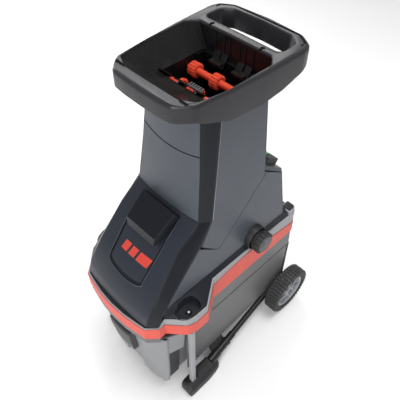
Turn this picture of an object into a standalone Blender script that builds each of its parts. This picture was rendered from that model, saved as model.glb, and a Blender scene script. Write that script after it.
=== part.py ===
"""Electric wood chipper: a feed hopper on a tapering tower, a wheeled base and a pull-out collection bin.

Metres, +Z up. The origin is on the floor under the middle of the bounding box, -Y is the bin's side
(front) and +X is the side that carries the adjusting knob.
"""

import math

import bmesh
import bpy
from mathutils import Matrix, Vector

# ---------------------------------------------------------------- driving dimensions
GAP = 0.0003  # left between pieces that touch
SHEET = 0.003  # wall of the moulded covers
TOP = 0.960  # rim of the hopper

# Rails of the upper housing's front half: (z, x, y), from the top down.
FRONT_CORNER = (
    (0.905, 0.0785, -0.0690),
    (0.753, 0.0920, -0.0835),
    (0.6265, 0.1035, -0.1000),
    (0.581, 0.1060, -0.1600),
    (0.496, 0.1110, -0.2330),
    (0.430, 0.1140, -0.2750),
    (0.3985, 0.1130, -0.2860),
)
SIDE_CORNER = (
    (0.905, 0.0963, -0.0260),
    (0.626, 0.1207, -0.0702),
    (0.5635, 0.1262, -0.1166),
    (0.499, 0.1318, -0.1880),
    (0.4444, 0.1360, -0.2448),
    (0.3985, 0.1365, -0.2620),
)
FRONT_BULGE = 0.009  # the front faces crown outwards by this much
FRONT_MITRE = (-0.684, 1.0)  # inward steps of the two corners, for one thickness
SIDE_MITRE = (-1.0, 0.187)

SIDE_SLOPE = 0.0875  # the flat sides lean in by this much for each metre up
SIDE_X, SIDE_Z = 0.123, 0.600  # one point of the right side plane
TOWER_BACK = 0.1225
TOWER_TOP = 0.905
REAR_CHAMFER = 0.012
FRONT_SEAM, SEAM_SAG = 0.800, 0.010  # seam across the tower's front
APRON_TOP = 0.6265
FOOT_Z = 0.450  # where the tower stands on the base deck
SIDE_SEAM = ((-0.1090, 0.5640), (-0.0625, 0.5180), (-0.0525, 0.5150), (0.1225, 0.6530))
HUMP = ((0.1235, 0.6555), (0.1875, 0.6100), (0.2060, 0.4515))  # rear bulge, (y, z)

# Half plan of the base, front middle to rear middle:
# x, y, top of the red band, top of the grey ledge, deck's inner edge (x, y, z).
STATIONS = (
    (0.0000, -0.3085, 0.3940, 0.3960, 0.0000, -0.2800, 0.3960),
    (0.0450, -0.3060, 0.3940, 0.3960, 0.0450, -0.2775, 0.3960),
    (0.0820, -0.3000, 0.3940, 0.3960, 0.0800, -0.2720, 0.3960),
    (0.1150, -0.2935, 0.3940, 0.3960, 0.1020, -0.2640, 0.3960),
    (0.1390, -0.2665, 0.3930, 0.3960, 0.1210, -0.2500, 0.3960),
    (0.1390, -0.2470, 0.3920, 0.4130, 0.1300, -0.2430, 0.4400),
    (0.1800, -0.2100, 0.3920, 0.4180, 0.1350, -0.2050, 0.4460),
    (0.1880, -0.1865, 0.3920, 0.4190, 0.1355, -0.1850, 0.4470),
    (0.1880, -0.1465, 0.3940, 0.4200, 0.1358, -0.1450, 0.4480),
    (0.1500, -0.0895, 0.4080, 0.4370, 0.1360, -0.0850, 0.4500),
    (0.1500, -0.0200, 0.4190, 0.4370, 0.1360, -0.0200, 0.4500),
    (0.1500, 0.0550, 0.4240, 0.4370, 0.1360, 0.0550, 0.4500),
    (0.1500, 0.1100, 0.4140, 0.4370, 0.1360, 0.1000, 0.4500),
    (0.1500, 0.1535, 0.4000, 0.4350, 0.1360, 0.1500, 0.4500),
    (0.1500, 0.2365, 0.3870, 0.4300, 0.1360, 0.1960, 0.4500),
    (0.1420, 0.2485, 0.3870, 0.4300, 0.1260, 0.2075, 0.4500),
    (0.0000, 0.2485, 0.3870, 0.4300, 0.0000, 0.2075, 0.4500),
)
BAND_LOW = 0.349
BAND_SKIN = 0.0016
DECK_LOW, RIM_TOP = 0.3750, 0.3742
RIM_LOW_FRONT, RIM_LOW_POD, RIM_LOW_SIDE = 0.325, 0.345, 0.285
SKIRT_IN = BAND_SKIN + 0.0004  # the deck's skirt stands just inside the red band
WALL_X, WALL_TOP, WALL_REAR = (0.1450, 0.1480), 0.2842, 0.2325
WALL_LOW = ((-0.188, 0.0640), (-0.0965, 0.0790), (0.0615, 0.0885), (0.1575, 0.0985), (WALL_REAR, 0.1010))
RAIL_Y = (-0.1850, 0.2050)
RAIL = ((0.1330, 0.2680), (0.1460, 0.2680), (0.1460, 0.2720), (0.1370, 0.2720), (0.1370, 0.2700),
        (0.1330, 0.2700))  # the bin hangs on it, (x, z)
FLOOR_LOW, FLOOR_HIGH = (-0.1400, -0.2500, 0.3000), (0.1400, 0.2350, 0.3040)

# Running gear.
WHEEL_R, WHEEL_WIDTH, WHEEL_OUT = 0.0842, 0.0436, 0.204
AXLE_Y, AXLE_R, AXLE_END = 0.2245, 0.006, 0.1965
LEG_X, LEG_Y = (0.1270, 0.1430), (0.2125, 0.2425)
TUBE_R = 0.009
TUBE_FRONT, TUBE_REAR = (0.1725, -0.1160, 0.0470), (0.1420, 0.2115, 0.0810)
POST_X, POST_Y, POST_LOW = (0.1680, 0.1840), (-0.2030, -0.1870), 0.0470
# Sections of the foot, from its nose back: y, x range, z range.
SHOE = (
    (-0.2250, 0.1640, 0.1900, 0.008, 0.030),
    (-0.2120, 0.1540, 0.2000, 0.000, 0.042),
    (-0.1700, 0.1530, 0.2010, 0.000, 0.046),
    (-0.1180, 0.1560, 0.1980, 0.000, 0.036),
    (-0.0960, 0.1620, 0.1900, 0.004, 0.026),
)
SPOKES, SPOKE_ANGLE = 6, 9
HUB_R, WINDOW_IN, WINDOW_OUT, RIM_OUT = 0.0150, 0.0240, 0.0500, 0.0597
TYRE_IN, TREAD_SHOULDER = 0.0600, 0.0790

# Collection bin. Sections of its body, top first: z, half width, y range.
BIN_BODY = (
    (0.2870, 0.1310, -0.2480, 0.2020), (0.0900, 0.1290, -0.2460, 0.1980), (0.0330, 0.1150, -0.2400, 0.1800),
)
# Sections of its front panel, top first: z, crown, half width.
BIN_FRONT = ((0.3225, 0.030, 0.1450), (0.2500, 0.028, 0.1440), (0.1350, 0.014, 0.1400),
             (0.0600, 0.011, 0.1330), (0.0300, 0.006, 0.1150))
BIN_FRONT_Y = -0.2530
FLANGE_LOW, FLANGE_HIGH = (0.1290, -0.1850, 0.2745), (0.1440, 0.2000, 0.2785)
CHEEK_LOW, CHEEK_HIGH = (0.1315, -0.2560, 0.2500), (0.1500, -0.1925, 0.2985)
GRIP_X, GRIP_Z = 0.0500, (0.2300, 0.2900)

# Cutting unit: the drum's axis and the motor's axis run along Y.
DRUM = (-0.035, 0.470)  # x, z
MOTOR, MOTOR_Y = (0.020, 0.425), -0.2250
DRUM_R, DRUM_Y = 0.042, (-0.005, 0.105)
BLADES = 8
SHAFT_R = 0.010
PLATE_FRONT, PLATE_REAR = (-0.0200, -0.0120), (0.1120, 0.1200)  # end plates of the cutting chamber
GEAR_CASE = (-0.0880, -0.0203)
MODULE_SLOW, MODULE_FAST = 0.0018, 0.0014
DRUM_TEETH, SMALL_TEETH, BIG_TEETH, PINION_TEETH = 40, 10, 36, 9
SLOW_Y, FAST_Y = (-0.048, -0.032), (-0.074, -0.062)
KNOB_Y, KNOB_Z, KNOB_R = 0.070, 0.460, 0.031
SCREW_R = 0.006
CHAMBER_X, CHAMBER_Z = (-0.0960, 0.0560), (0.3960, 0.5220)
CASE_LOW, CASE_HIGH, CASE_WALL = (-0.0840, 0.3800), (0.0540, 0.5170), 0.004
PRESS_LOW, PRESS_HIGH = (0.0135, 0.4380), (0.0255, 0.5050)  # x, z
PRESS_NUT = (0.0240, 0.0600)

# Feed throat.
THROAT_X, THROAT_Y, THROAT_Z = 0.0860, (-0.0300, 0.1060), (0.845, 0.8985)
REAR_ROLLER, FRONT_ROLLER = (0.0575, 0.8740), (0.0020, 0.8660)  # y, z
REAR_COLLARS, FRONT_COLLARS = (-0.066, 0.0, 0.066), (-0.050, 0.0, 0.050)
ROLLER_END, PIN_END, PIN_R = 0.0810, 0.0880, 0.0050

# Hopper, as half plans from the front middle to the rear middle, (x, y).
RIM_OUTLINE = ((0.0, -0.1505), (0.0450, -0.1495), (0.0830, -0.1460), (0.1135, -0.1130), (0.1225, -0.0400),
               (0.1310, 0.0600), (0.1350, 0.1700), (0.1280, 0.1930), (0.0950, 0.2140), (0.0, 0.2200))
RIM_OPENING = ((0.0, -0.1210), (0.0720, -0.1205), (0.1060, -0.1050), (0.1180, -0.0400),
               (0.1200, 0.0800), (0.1020, 0.1040), (0.0, 0.1050))
HANDLE_HOLE = ((0.0, 0.1260), (0.0970, 0.1245), (0.1060, 0.1340), (0.1040, 0.1760), (0.0800, 0.1930),
               (0.0, 0.1975))
FUNNEL_LOW = ((0.0, -0.0300), (0.0550, -0.0300), (0.0800, -0.0290), (0.0860, -0.0150), (0.0860, 0.0950),
              (0.0800, 0.1060), (0.0, 0.1060))
SKIRT_EDGE = ((-0.2000, 0.9210), (-0.1120, 0.9210), (-0.0900, 0.9100), (-0.0310, 0.8890), (0.0500, 0.8860),
              (0.1100, 0.8930), (0.2000, 0.9200), (0.2300, 0.9250))  # lower edge of the skirt, (y, z)
RIM_PLATE, HANDLE_DEPTH = 0.006, 0.046

# The hood's cowl, from the tower down: half width, height on the hood, lift.
COWL = ((0.0610, 0.6220, 0.0165), (0.0560, 0.5760, 0.0190), (0.0530, 0.5620, 0.0050))
HOOD_OUT = (0.0, -0.62, 0.78)

# ---------------------------------------------------------------- scene and materials
for old in list(bpy.data.objects):
    bpy.data.objects.remove(old, do_unlink=True)

PARTS = bpy.data.collections.new("wood_chipper")
CUTTERS = bpy.data.collections.new("cutters")
bpy.context.scene.collection.children.link(PARTS)
bpy.context.scene.collection.children.link(CUTTERS)

# finish: base colour, roughness, metallic
FINISHES = {
    "hopper_black": ((0.035, 0.035, 0.038), 0.55, 0.0),
    "housing_grey": ((0.130, 0.145, 0.165), 0.42, 0.0),
    "hood_blue_grey": ((0.050, 0.056, 0.072), 0.38, 0.0),
    "base_grey": ((0.300, 0.300, 0.310), 0.48, 0.0),
    "wall_grey": ((0.160, 0.160, 0.165), 0.50, 0.0),
    "trim_red": ((0.620, 0.105, 0.075), 0.45, 0.0),
    "feed_red": ((0.720, 0.070, 0.030), 0.40, 0.0),
    "frame_black": ((0.020, 0.020, 0.021), 0.40, 0.0),
    "soft_black": ((0.028, 0.028, 0.029), 0.75, 0.0),
    "tyre_black": ((0.025, 0.025, 0.026), 0.80, 0.0),
    "rim_grey": ((0.340, 0.350, 0.370), 0.45, 0.0),
    "steel": ((0.560, 0.560, 0.570), 0.30, 1.0),
    "cast": ((0.260, 0.260, 0.270), 0.55, 1.0),
    "signal_green": ((0.040, 0.330, 0.110), 0.40, 0.0),
}


def material(node, finish):
    colour, roughness, metallic = FINISHES[finish]
    made = bpy.data.materials.new(node)
    made.use_nodes = True
    shader = made.node_tree.nodes["Principled BSDF"]
    shader.inputs["Base Color"].default_value = (*colour, 1.0)
    shader.inputs["Roughness"].default_value = roughness
    shader.inputs["Metallic"].default_value = metallic
    return made


def add(node, mesh, finish, pivot=(0.0, 0.0, 0.0)):
    """Link a mesh, given in world coordinates, as a node with its origin at the pivot."""
    mesh.name = node
    mesh.transform(Matrix.Translation(-Vector(pivot)))
    mesh.materials.clear()
    mesh.materials.append(material(node, finish))
    obj = bpy.data.objects.new(node, mesh)
    obj.location = pivot
    PARTS.objects.link(obj)
    return obj


def helper(node, mesh):
    """A cutter, or a piece that is joined into another one."""
    obj = bpy.data.objects.new(node, mesh)
    obj.hide_render = True
    obj.display_type = "WIRE"
    CUTTERS.objects.link(obj)
    return obj


def combine(obj, meshes, operation):
    for mesh in meshes:
        other = helper(f"{obj.name}_{operation.lower()}_{len(obj.modifiers)}", mesh)
        modifier = obj.modifiers.new(other.name, "BOOLEAN")
        modifier.operation = operation
        modifier.solver = "EXACT"
        modifier.object = other
    return obj


def cut(obj, *meshes):
    return combine(obj, meshes, "DIFFERENCE")


def join(obj, *meshes):
    return combine(obj, meshes, "UNION")


def soften(obj, width, segments=2, angle=30):
    bevel = obj.modifiers.new("rounded edges", "BEVEL")
    bevel.width = width
    bevel.segments = segments
    bevel.limit_method = "ANGLE"
    bevel.angle_limit = math.radians(angle)
    return obj


# ---------------------------------------------------------------- shapes
# Local axes that carry a flat outline (u, v) and its thickness w onto the world's axes.
TURN = {
    "X": Matrix(((0, 0, 1), (1, 0, 0), (0, 1, 0))).to_4x4(),  # u = y, v = z
    "Y": Matrix(((1, 0, 0), (0, 0, -1), (0, 1, 0))).to_4x4(),  # u = x, v = z
    "Z": Matrix.Identity(4),  # u = x, v = y
}


def box(low, high):
    bm = bmesh.new()
    bmesh.ops.create_cube(bm, size=1.0)
    size = [b - a for a, b in zip(low, high)]
    middle = [(a + b) / 2 for a, b in zip(low, high)]
    bmesh.ops.transform(
        bm, matrix=Matrix.Translation(middle) @ Matrix.Diagonal((*size, 1.0)), verts=bm.verts
    )
    return to_mesh(bm)


def to_mesh(bm):
    mesh = bpy.data.meshes.new("shape")
    bm.normal_update()
    bm.to_mesh(mesh)
    bm.free()
    return mesh


def rod(start, end, radius, sides=24, end_radius=None):
    """A cylinder or a cone between two points."""
    start, end = Vector(start), Vector(end)
    run = end - start
    bm = bmesh.new()
    bmesh.ops.create_cone(
        bm,
        cap_ends=True,
        segments=sides,
        radius1=radius,
        radius2=radius if end_radius is None else end_radius,
        depth=run.length,
    )
    turn = run.to_track_quat("Z", "Y").to_matrix().to_4x4()
    bmesh.ops.transform(bm, matrix=Matrix.Translation((start + end) / 2) @ turn, verts=bm.verts)
    return to_mesh(bm)


def plate(axis, outline, low, high, holes=()):
    """A flat outline, extruded along an axis from low to high."""
    curve = bpy.data.curves.new("outline", "CURVE")
    curve.dimensions = "2D"
    curve.fill_mode = "BOTH"
    curve.extrude = (high - low) / 2
    for loop in (outline, *holes):
        spline = curve.splines.new("POLY")
        spline.points.add(len(loop) - 1)
        for point, (u, v) in zip(spline.points, loop):
            point.co = (u, v, 0.0, 1.0)
        spline.use_cyclic_u = True
    drawn = bpy.data.objects.new("outline", curve)
    CUTTERS.objects.link(drawn)
    bpy.context.view_layer.update()
    graph = bpy.context.evaluated_depsgraph_get()
    mesh = bpy.data.meshes.new_from_object(drawn.evaluated_get(graph))
    bpy.data.objects.remove(drawn, do_unlink=True)
    middle = (low + high) / 2 * (-1 if axis == "Y" else 1)
    mesh.transform(TURN[axis] @ Matrix.Translation((0.0, 0.0, middle)))
    bm = bmesh.new()
    bm.from_mesh(mesh)
    bmesh.ops.remove_doubles(bm, verts=bm.verts, dist=1e-6)
    bmesh.ops.recalc_face_normals(bm, faces=bm.faces)
    return to_mesh(bm)


def turned(profile, centre, axis, steps=32):
    """A closed profile of (radius, height), turned about an axis through centre."""
    bm = bmesh.new()
    loop = [bm.verts.new((radius, 0.0, height)) for radius, height in profile]
    for a, b in zip(loop, loop[1:] + loop[:1]):
        bm.edges.new((a, b))
    bmesh.ops.spin(
        bm,
        geom=bm.verts[:] + bm.edges[:],
        cent=(0, 0, 0),
        axis=(0, 0, 1),
        angle=math.tau,
        steps=steps,
        use_merge=True,
    )
    bmesh.ops.remove_doubles(bm, verts=bm.verts, dist=1e-6)
    bmesh.ops.dissolve_degenerate(bm, dist=1e-7, edges=bm.edges)
    bmesh.ops.recalc_face_normals(bm, faces=bm.faces)
    turn = {"X": Matrix.Rotation(math.pi / 2, 4, "Y"), "Y": Matrix.Rotation(-math.pi / 2, 4, "X")}
    bmesh.ops.transform(
        bm, matrix=Matrix.Translation(centre) @ turn.get(axis, Matrix.Identity(4)), verts=bm.verts
    )
    return to_mesh(bm)


def panel(outer, inner, closed=False):
    """A moulded wall between two grids of points (rows of equal length) that face each other."""
    bm = bmesh.new()
    grids = [[[bm.verts.new(p) for p in row] for row in grid] for grid in (outer, inner)]
    rows, columns = len(outer), len(outer[0])
    across = range(columns if closed else columns - 1)
    for r in range(rows - 1):
        for c in across:
            n = (c + 1) % columns
            for grid in grids:
                bm.faces.new((grid[r][c], grid[r][n], grid[r + 1][n], grid[r + 1][c]))
    for r in (0, rows - 1):
        for c in across:
            n = (c + 1) % columns
            bm.faces.new((grids[0][r][c], grids[0][r][n], grids[1][r][n], grids[1][r][c]))
    if not closed:
        for c in (0, columns - 1):
            for r in range(rows - 1):
                bm.faces.new(
                    (grids[0][r][c], grids[0][r + 1][c], grids[1][r + 1][c], grids[1][r][c])
                )
    bmesh.ops.recalc_face_normals(bm, faces=bm.faces)
    return to_mesh(bm)


def solid(sections):
    """A loft through closed sections with the same number of points."""
    bm = bmesh.new()
    loops = [[bm.verts.new(p) for p in section] for section in sections]
    count = len(loops[0])
    for a, b in zip(loops, loops[1:]):
        for i in range(count):
            j = (i + 1) % count
            bm.faces.new((a[i], a[j], b[j], b[i]))
    bm.faces.new(loops[0])
    bm.faces.new(loops[-1])
    bmesh.ops.recalc_face_normals(bm, faces=bm.faces)
    return to_mesh(bm)


def arc(centre, radius, start, end, steps):
    """Points of a circular arc, angles in degrees."""
    angles = [math.radians(start + (end - start) * k / steps) for k in range(steps + 1)]
    return [(centre[0] + radius * math.cos(a), centre[1] + radius * math.sin(a)) for a in angles]


def circle(centre, radius, sides=24):
    return arc(centre, radius, 0, 360, sides)[:-1]


def rounded(low, high, radius, steps=3):
    """A rectangle with rounded corners."""
    (x0, y0), (x1, y1) = low, high
    corners = (
        ((x1 - radius, y1 - radius), 0),
        ((x0 + radius, y1 - radius), 90),
        ((x0 + radius, y0 + radius), 180),
        ((x1 - radius, y0 + radius), 270),
    )
    return [p for centre, turn in corners for p in arc(centre, radius, turn, turn + 90, steps)]


def mirrored(points):
    """A half outline, from the front middle to the rear middle, closed by its mirror image."""
    return list(points) + [(-x, y) for x, y in reversed(points) if abs(x) > 1e-6]


def inset(outline, distance):
    """The outline, offset inwards with sharp corners. It runs anticlockwise."""
    moved = []
    for before, here, after in zip(outline[-1:] + outline[:-1], outline, outline[1:] + outline[:1]):
        a = (Vector(here) - Vector(before)).normalized()
        b = (Vector(after) - Vector(here)).normalized()
        normals = Vector((-a.y, a.x)), Vector((-b.y, b.x))
        step = (normals[0] + normals[1]) / (1.0 + normals[0].dot(normals[1]))
        moved.append(tuple(Vector(here) + step * distance))
    return moved


def at(points, z):
    """The rail's (x, y) at a height, by straight runs."""
    runs = list(zip(points, points[1:]))
    (z0, x0, y0), (z1, x1, y1) = next((run for run in runs if z >= run[1][0]), runs[-1])
    share = (z0 - z) / (z0 - z1)
    return x0 + (x1 - x0) * share, y0 + (y1 - y0) * share


def side_x(z):
    return SIDE_X + SIDE_SLOPE * (SIDE_Z - z)


def flip(mesh):
    """The left-hand copy of a right-hand mesh."""
    copy = mesh.copy()
    copy.transform(Matrix.Diagonal((-1.0, 1.0, 1.0, 1.0)))
    copy.flip_normals()
    return copy


def pair(name, make, finish, pivot=None):
    """Right and left copies of one piece."""
    mesh = make()
    copy = flip(mesh)
    if pivot is None:
        pivot = (0.0, 0.0, 0.0)
    right = add(f"{name}_right", mesh, finish, pivot)
    left = add(f"{name}_left", copy, finish, (-pivot[0], pivot[1], pivot[2]))
    return right, left


# ---------------------------------------------------------------- upper housing
FRACTIONS = [k / 4 - 1 for k in range(9)]  # across a front face, left to right


def front_point(fraction, z, depth=0.0):
    """A point of the crowned front face, or of its inner side at a depth."""
    x, y = at(FRONT_CORNER, z)
    crown = FRONT_BULGE * (1 - fraction * fraction)
    if abs(fraction) == 1.0:
        x += FRONT_MITRE[0] * depth - GAP
    return fraction * x, y - crown + FRONT_MITRE[1] * depth, z


def front_panel(levels):
    """levels: functions of the fraction that give the height of each row."""
    grids = []
    for depth in (0.0, SHEET):
        grids.append([[front_point(f, level(f), depth) for f in FRACTIONS] for level in levels])
    return panel(*grids)


def seam(f):
    return FRONT_SEAM - SEAM_SAG * (1 - f * f)


def tower_front():
    upper = (lambda f: TOWER_TOP, lambda f: 0.85, lambda f: seam(f) + GAP)
    add("tower_front_upper", front_panel(upper), "housing_grey")
    lower = (lambda f: seam(f) - GAP, lambda f: 0.753, lambda f: 0.69, lambda f: APRON_TOP + 0.0008)
    add("tower_front_lower", front_panel(lower), "housing_grey")


def pillar():
    """The dark chamfer strip between the front and the side."""
    grids = []
    for depth in (0.0, SHEET):
        rows = []
        for z in (TOWER_TOP, 0.80, 0.753, APRON_TOP + 0.0008):
            a, b = at(FRONT_CORNER, z), at(SIDE_CORNER, z)
            rows.append(
                [
                    (a[0] + FRONT_MITRE[0] * depth, a[1] + FRONT_MITRE[1] * depth, z),
                    (b[0] + SIDE_MITRE[0] * depth, b[1] + SIDE_MITRE[1] * depth - GAP, z),
                ]
            )
        grids.append(rows)
    return panel(*grids)


APRON_LEVELS = (APRON_TOP, 0.604, 0.581, 0.54, 0.496, 0.463, 0.43, 0.412, 0.3985)


def hood():
    """The sloping motor hood: crowned front and both chamfers in one moulding."""
    grids = []
    for depth in (0.0, SHEET * 1.2):
        rows = []
        for z in APRON_LEVELS:
            b = at(SIDE_CORNER, z)
            edge = (b[0] + SIDE_MITRE[0] * depth, b[1] + SIDE_MITRE[1] * depth - GAP, z)
            a = at(FRONT_CORNER, z)
            corner = (a[0] + FRONT_MITRE[0] * depth, a[1] + FRONT_MITRE[1] * depth, z)
            front = [front_point(f, z, depth) for f in FRACTIONS[1:-1]]
            rows.append(
                [(-edge[0], *edge[1:]), (-corner[0], *corner[1:]), *front, corner, edge]
            )
        grids.append(rows)
    add("motor_hood", panel(*grids), "hood_blue_grey")


LEAN = Matrix(
    (
        (1.0, 0.0, -SIDE_SLOPE, SIDE_X + SIDE_SLOPE * SIDE_Z),
        (0.0, 1.0, 0.0, 0.0),
        (0.0, 0.0, 1.0, 0.0),
        (0.0, 0.0, 0.0, 1.0),
    )
)


def leaning(outline):
    """A flat piece of the right side plane, its outline in (y, z)."""
    mesh = plate("X", outline, -SHEET, 0.0)
    mesh.transform(LEAN)
    return mesh


def front_edge(z, back=0.0009):
    return at(SIDE_CORNER, z)[1] + back


def side_upper():
    start = SIDE_SEAM[0][1]
    outline = [(front_edge(z), z) for z in (TOWER_TOP, 0.626)]
    outline += [(SIDE_SEAM[0][0], start)] + list(SIDE_SEAM[1:3])
    rear = TOWER_BACK - REAR_CHAMFER - 0.0016
    outline += [(rear, 0.6415), (rear, TOWER_TOP)]
    return leaning(outline)


def side_lower():
    drop = 0.0008
    outline = [(y, z - drop) for y, z in SIDE_SEAM[:3]]
    outline = [(front_edge(0.5625), 0.5625)] + outline[1:]
    outline += [(0.1095, 0.6415), (0.1095, 0.6535), (0.1757, 0.6085), (0.1940, FOOT_Z + 0.0015)]
    outline += [(-0.2320, FOOT_Z + 0.0015), (front_edge(0.499, 0.0020), 0.499)]
    return leaning(outline)


def back_panel(rows, depth, chamfer):
    """Wraps the rear and both rear chamfers; rows are (y, z) of the rear face."""
    grids = []
    for inward in (0.0, depth):
        grid = []
        for y, z in rows:
            edge = side_x(z) - inward
            flat = side_x(z) - chamfer - 0.4 * inward
            grid.append(
                [
                    (-edge, y - chamfer - 0.4 * inward, z),
                    (-flat, y - inward, z),
                    (flat, y - inward, z),
                    (edge, y - chamfer - 0.4 * inward, z),
                ]
            )
        grids.append(grid)
    return panel(*grids)


def housing():
    tower_front()
    pair("corner_pillar", pillar, "hood_blue_grey")
    hood()
    pair("tower_side", side_upper, "housing_grey")
    right, _ = pair("lower_side", side_lower, "housing_grey")
    cut(right, rod((0.10, KNOB_Y, KNOB_Z), (0.16, KNOB_Y, KNOB_Z), 0.0115, 24))
    back = back_panel(((TOWER_BACK, TOWER_TOP), (TOWER_BACK, 0.6570)), SHEET, REAR_CHAMFER)
    add("tower_back", back, "housing_grey")
    add("rear_cover", back_panel(HUMP, SHEET, 0.010), "housing_grey")


def hood_cowl():
    """The raised wedge on the hood, just under the tower."""
    out, slope = Vector(HOOD_OUT), 0.006
    sections = []
    for half, z, lift in COWL:
        base = Vector(front_point(0.0, z)) + out * 0.0020
        peak = base + out * lift
        top = half - slope
        sections.append([(-half, *base.yz), (half, *base.yz), (top, *peak.yz), (-top, *peak.yz)])
    add("hood_cowl", solid(sections), "hood_blue_grey")


# ---------------------------------------------------------------- base
PLAN = mirrored([(s[0], s[1]) for s in STATIONS])


def around(column):
    """One value of each station, all the way round."""
    values = [s[column] for s in STATIONS]
    return values + [v for s, v in reversed(list(zip(STATIONS, values))) if abs(s[0]) > 1e-6]


def ring_wall(outer, inner, low, high):
    """An upright wall all the way round, between two plans; low and high give a height for each corner."""
    grids = [
        [[(x, y, z) for (x, y), z in zip(loop, heights)] for heights in (high, low)]
        for loop in (outer, inner)
    ]
    return panel(*grids, closed=True)


def base_deck():
    """Grey ledge and sloping deck, down to the skirt inside the red band."""
    skirt, inside = inset(PLAN, SKIRT_IN), inset(PLAN, SKIRT_IN + SHEET)
    ledge = around(3)
    edge = mirrored([(s[4], s[5]) for s in STATIONS])
    edge_z = around(6)
    outer = [
        [(x, y, DECK_LOW) for x, y in skirt],
        [(x, y, z) for (x, y), z in zip(skirt, ledge)],
        [(x, y, z) for (x, y), z in zip(edge, edge_z)],
    ]
    inner = [
        [(x, y, DECK_LOW) for x, y in inside],
        [(x, y, z - SHEET) for (x, y), z in zip(inside, ledge)],
        [(x, y, z - SHEET * 1.2) for (x, y), z in zip(edge, edge_z)],
    ]
    deck = add("base_deck", panel(outer, inner, closed=True), "base_grey")
    cut(deck, rod((0.1250, KNOB_Y, KNOB_Z), (0.1700, KNOB_Y, KNOB_Z), 0.0335, 32))


def lower_rim():
    """The strip under the red band: shallow at the pods, deep along the sides."""
    lows = []
    for x, y in PLAN:
        pod = abs(x) > 0.151 or (abs(x) > 0.13 and -0.25 < y < -0.24)
        lows.append(RIM_LOW_POD if pod else RIM_LOW_FRONT if y < -0.2 else RIM_LOW_SIDE)
    outer, inner = inset(PLAN, SKIRT_IN), inset(PLAN, SKIRT_IN + SHEET)
    add("lower_rim", ring_wall(outer, inner, lows, [RIM_TOP] * len(PLAN)), "base_grey")


def walls():
    """Side walls with the rails that the bin hangs on, and the rear wall."""
    outline = [(WALL_LOW[0][0], WALL_TOP), *WALL_LOW, (WALL_REAR, WALL_TOP)]
    rail = plate("Y", RAIL, *RAIL_Y)
    left_rail = flip(rail)
    right, left = pair("side_wall", lambda: plate("X", outline, *WALL_X), "wall_grey")
    join(right, rail)
    join(left, left_rail)
    add("rear_wall", box((-0.1240, 0.2430, 0.0600), (0.1240, 0.2460, WALL_TOP)), "wall_grey")


def machine_floor():
    """Carries the drive: the drum discharges through its hole, the motor rests on its pedestal."""
    floor = add("machine_floor", box(FLOOR_LOW, FLOOR_HIGH), "frame_black")
    cut(floor, box((-0.0840, DRUM_Y[0] - 0.0040, 0.29), (0.0340, DRUM_Y[1] + 0.0040, 0.32)))
    x, z = MOTOR
    pedestal = box((x - 0.0300, -0.2150, FLOOR_HIGH[2] - 0.001), (x + 0.0300, -0.1300, z - 0.0460))
    join(floor, chute(), pedestal)


def base_shell():
    base_deck()
    add("trim_band", ring_wall(PLAN, inset(PLAN, BAND_SKIN), [BAND_LOW] * len(PLAN), around(2)), "trim_red")
    lower_rim()
    walls()
    machine_floor()


# ---------------------------------------------------------------- frame, feet and wheels
def leg():
    (x0, x1), (y0, y1) = LEG_X, LEG_Y
    return box((x0, y0, 0.0620), (x1, y1, RIM_LOW_SIDE - 0.001))


def shoe():
    """Foot: a long block with a tapered nose and a sloping top."""
    return solid(
        [[(x0, y, low), (x1, y, low), (x1, y, high), (x0, y, high)] for y, x0, x1, low, high in SHOE]
    )


def sleeve():
    """Clamps the tube's front end to the shoe and the side wall."""
    outline = rounded((0.1560, 0.0280), (0.1880, 0.0580), 0.006)
    return plate("Y", outline, -0.1780, -0.1215)


def frame():
    legs = pair("rear_leg", leg, "frame_black")
    for obj, side in zip(legs, (1, -1)):
        middle = side * sum(LEG_X) / 2
        cut(obj, rod((middle - 0.03, AXLE_Y, WHEEL_R), (middle + 0.03, AXLE_Y, WHEEL_R), AXLE_R + GAP))
    clamp = sleeve()
    other_clamp = flip(clamp)
    right, left = pair("front_foot", shoe, "soft_black")
    join(right, clamp)
    join(left, other_clamp)
    (x0, x1), (y0, y1) = POST_X, POST_Y
    posts = pair("corner_post", lambda: box((x0, y0, POST_LOW), (x1, y1, RIM_LOW_POD - GAP)), "base_grey")
    for obj in posts:
        soften(obj, 0.004, 2)
    pair("side_tube", lambda: rod(TUBE_FRONT, TUBE_REAR, TUBE_R, 16), "frame_black")
    add("axle", rod((-AXLE_END, AXLE_Y, WHEEL_R), (AXLE_END, AXLE_Y, WHEEL_R), AXLE_R), "steel")


def tyre():
    half = WHEEL_WIDTH / 2
    tread = half - 0.006
    profile = [(TYRE_IN, -half), (TREAD_SHOULDER, -half), (WHEEL_R, -tread), (WHEEL_R, tread),
               (TREAD_SHOULDER, half), (TYRE_IN, half)]
    return turned(profile, (WHEEL_OUT - half, AXLE_Y, WHEEL_R), "X", 40)


def wheel_rim():
    """A disc with paired spoke windows, as one flat outline with holes."""
    windows = []
    centre = (AXLE_Y, WHEEL_R)
    for k in range(SPOKES):
        start = 360 / SPOKES * k + SPOKE_ANGLE
        end = 360 / SPOKES * (k + 1) - SPOKE_ANGLE
        outside = arc(centre, WINDOW_OUT, start, end, 4)
        windows.append(outside + arc(centre, WINDOW_IN, end - 10, start + 10, 2))
    bore = circle(centre, AXLE_R + GAP, 16)
    disc = circle(centre, RIM_OUT, 40)
    return plate("X", disc, WHEEL_OUT - 0.034, WHEEL_OUT - 0.006, [bore, *windows])


def hub_cap():
    low, high = ((WHEEL_OUT - depth, AXLE_Y, WHEEL_R) for depth in (0.0070, 0.0015))
    return rod(low, high, HUB_R, 24, HUB_R * 0.8)


def wheels():
    pivot = (WHEEL_OUT - WHEEL_WIDTH / 2, AXLE_Y, WHEEL_R)
    pair("tyre", tyre, "tyre_black", pivot)
    cap = hub_cap()
    other = flip(cap)
    right, left = pair("wheel_rim", wheel_rim, "rim_grey", pivot)
    join(right, cap)
    join(left, other)


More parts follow.
